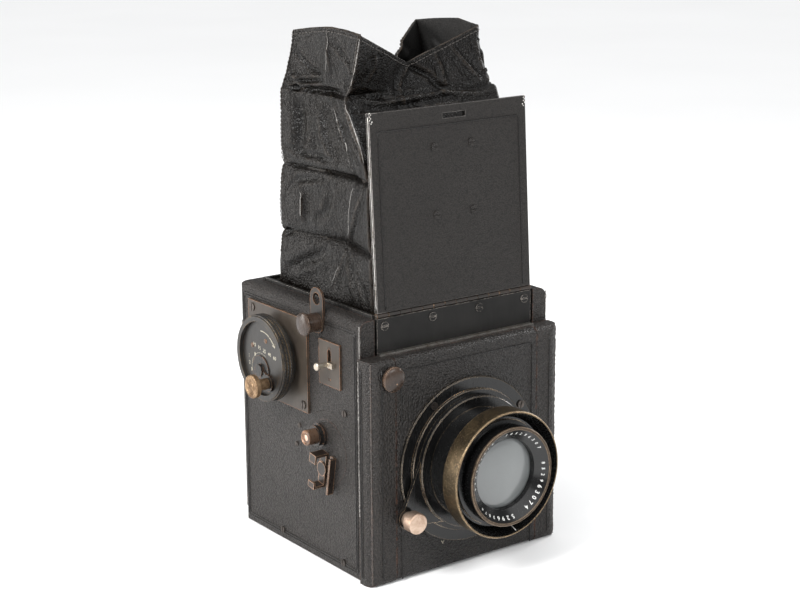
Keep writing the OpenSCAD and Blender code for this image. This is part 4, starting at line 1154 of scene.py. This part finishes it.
def dial_marks():
    parts = Parts()

    def number(text, u, v, h, turn=0.0):
        a = math.radians(turn)
        right, up = (0, -math.cos(a), math.sin(a)), (0, math.sin(a), math.cos(a))
        parts.add(*placed(*glyph(text, h * MM), on_dial(u, v, PROUD), right, up))

    # a curved arrow over the top, from the rear round to the front
    parts.line(dial_arc(0, 0, ARROW_R, range(ARROW_FROM + 2, ARROW_TO + 1, 3), 0.00003), 0.00022)
    tip = ARROW_R * Vector((math.cos(math.radians(ARROW_FROM)), math.sin(math.radians(ARROW_FROM))))
    for du, dv in ((-1.9, 0.9), (0.5, 2.1)):
        parts.line([on_dial(tip.x, tip.y, 0.00003), on_dial(tip.x + du, tip.y + dv, 0.00003)], 0.00022)
    for k, text in enumerate(DIAL_SPEEDS):
        number(text, -7.5 + 4.6 * k, 5.3 - 0.75 * k, 1.9, -9)
    for text, u, v in DIAL_DIGITS:
        number(text, u, v, 1.7)
    parts.line(dial_arc(*DIAL_RING, range(60, 200, 5), 0.00001), 0.00011, sides=5)
    parts.build("dial_numerals", dial_paint, "drum", "black_enamel", smooth=False)

    rivets = Parts()
    for u, v in DIAL_RIVETS:
        rivets.add(*lathe([(0, 0.45), (0.9, 0.4), (1.15, 0.2), (1.2, 0)], on_dial(u, v), (-1, 0, 0), 20))
    rivets.build("dial_rivets", worn_copper, "drum", "brass")


def lathe(profile, origin, axis, segments=32):
    """Vertices and faces of a turned shape: (radius, height) pairs in mm, from the axis outwards."""
    axis = Vector(axis).normalized()
    side = axis.orthogonal().normalized()
    other = axis.cross(side)
    verts, faces, starts = [], [], []
    for r, h in profile:
        starts.append(len(verts))
        base = Vector(origin) + axis * h * MM
        if r == 0:
            verts.append(base)
        else:
            verts += [base + r * MM * (math.cos(2 * math.pi * k / segments) * side
                                       + math.sin(2 * math.pi * k / segments) * other) for k in range(segments)]
    for i in range(len(profile) - 1):
        a, b = starts[i], starts[i + 1]
        for k in range(segments):
            m = (k + 1) % segments
            if profile[i][0] == 0:
                faces.append((a, b + k, b + m))
            elif profile[i + 1][0] == 0:
                faces.append((a + k, b, a + m))
            else:
                faces.append((a + k, b + k, b + m, a + m))
    if profile[-1][0] and profile[0][0] == 0:
        faces.append(tuple(starts[-1] + k for k in range(segments - 1, -1, -1)))
    return verts, faces


DRUM_FOOT = -X_WALL - 0.0012  # the face of the shutter plate
RIM_FOOT, RIM_HEAD = 4.8, 9.9  # where the bands of beads start and end on the drum, in mm
BANDS, BEADS = 3, 84


def knurling():
    """Bands of beads round the winding drum's rim."""
    parts = Parts()
    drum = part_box("winding_drum")
    radius = (drum[1][2] - drum[0][2]) / 2
    band = (RIM_HEAD - RIM_FOOT) / BANDS
    for k in range(BANDS):
        x = DRUM_FOOT - (RIM_FOOT + (k + 0.5) * band) * MM
        for j in range(BEADS):
            a = 2 * math.pi * (j + 0.5 * (k % 2)) / BEADS
            out = Vector((0, math.cos(a), math.sin(a)))
            along = Vector((0, -math.sin(a), math.cos(a)))
            c = Vector((x, DRUM_AXIS.y, DRUM_AXIS.z)) + out * (radius - 0.00012)
            verts, faces = lathe([(0, 0.34), (0.42, 0.22), (0.6, 0)], c, out, 6)
            verts = [c + (v - c) + along * ((v - c).dot(along)) * 0.1 for v in verts]
            parts.add(verts, faces)
    parts.build("drum_knurling", knurl_enamel, "drum", "black_enamel", smooth=False)


NUMERALS = "1234567890"
PLACES = 44  # places for numerals round the ring, some of them left empty
NUMERAL_R = 0.0206
CONE = 0.889  # the slope of the ring's dished face
TICK_ANGLE = -79
TICK_NEAR, TICK_FAR = (0.02755, -0.0255), (0.02975, -0.0298)  # radius, and place along the lens
PANEL_INDEX = Vector((-0.0154, FRONT[0][1] - 0.00003, 0.0132))


def spoke(degrees):
    """The directions outwards from the lens axis, and along the ring."""
    a = math.radians(degrees)
    return Vector((math.cos(a), 0, math.sin(a))), Vector((math.sin(a), 0, -math.cos(a)))


def lens_marks():
    ring = Parts()
    for k in range(PLACES):
        if k % 11 in (9, 10) or 29 < k < 33:
            continue
        radial, along = spoke(96 - k * 360 / PLACES)
        up = (radial - Vector((0, CONE, 0))).normalized()
        origin = LENS + radial * NUMERAL_R
        origin.y = CELL[0][1] + (CELL_R - 0.0014 - NUMERAL_R) * CONE - 0.00004
        h = 2.1 if 14 < k < 26 else 1.55
        ring.add(*placed(*glyph(NUMERALS[(k * 7) % 10], h * MM), origin, along, up))
    ring.build("lens_ring_numerals", lens_paint, "lens_barrel", "black_enamel", smooth=False)

    tick = Parts()
    radial, _ = spoke(TICK_ANGLE)
    near, far = (LENS + radial * r + Vector((0, y, 0)) for r, y in (TICK_NEAR, TICK_FAR))
    tick.line([near, near.lerp(far, 0.5), far], 0.0002)
    tick.build("index_tick", lens_paint, "aperture_ring", "bronzed_brass")

    mark = Parts()
    for dx in (-0.0009, 0.0009):
        mark.line([PANEL_INDEX, PANEL_INDEX + Vector((dx, 0, 0.0019))], 0.0002)
    mark.build("panel_index", dial_paint, "lens_panel", "body_leather")


PLUNGER_TIP = Vector((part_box("release_plunger")[0][0] + 0.0007, -0.0154, 0.0656))
CAP_PROFILE = [(0, 0.12), (1.6, 0.12), (1.75, 0.0), (2.0, 0.0), (2.1, 0.14), (2.45, 0.14), (2.6, -0.6)]
SELECTOR_Y, MARK_PITCH, MARK_HALF = -0.02405, 0.0009, 0.0008


def small_metal():
    cap = Parts()
    cap.add(*lathe(CAP_PROFILE, PLUNGER_TIP, (-1, 0, 0), 40))
    cap.build("plunger_cap", plunger_copper, "release_plunger", "brass")
    marks = Parts()
    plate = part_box("selector_plate")
    x = plate[0][0] - 0.00001
    for z in (plate[0][2] + 0.0034, plate[1][2] - 0.0034):
        for y in (SELECTOR_Y - MARK_PITCH, SELECTOR_Y, SELECTOR_Y + MARK_PITCH):
            marks.line([(x, y, z - MARK_HALF), (x, y, z + MARK_HALF)], 0.00014, sides=5)
    marks.build("selector_marks", enamel, "body", "bronzed_brass")


edge_welts()
dial_marks()
knurling()
lens_marks()
small_metal()
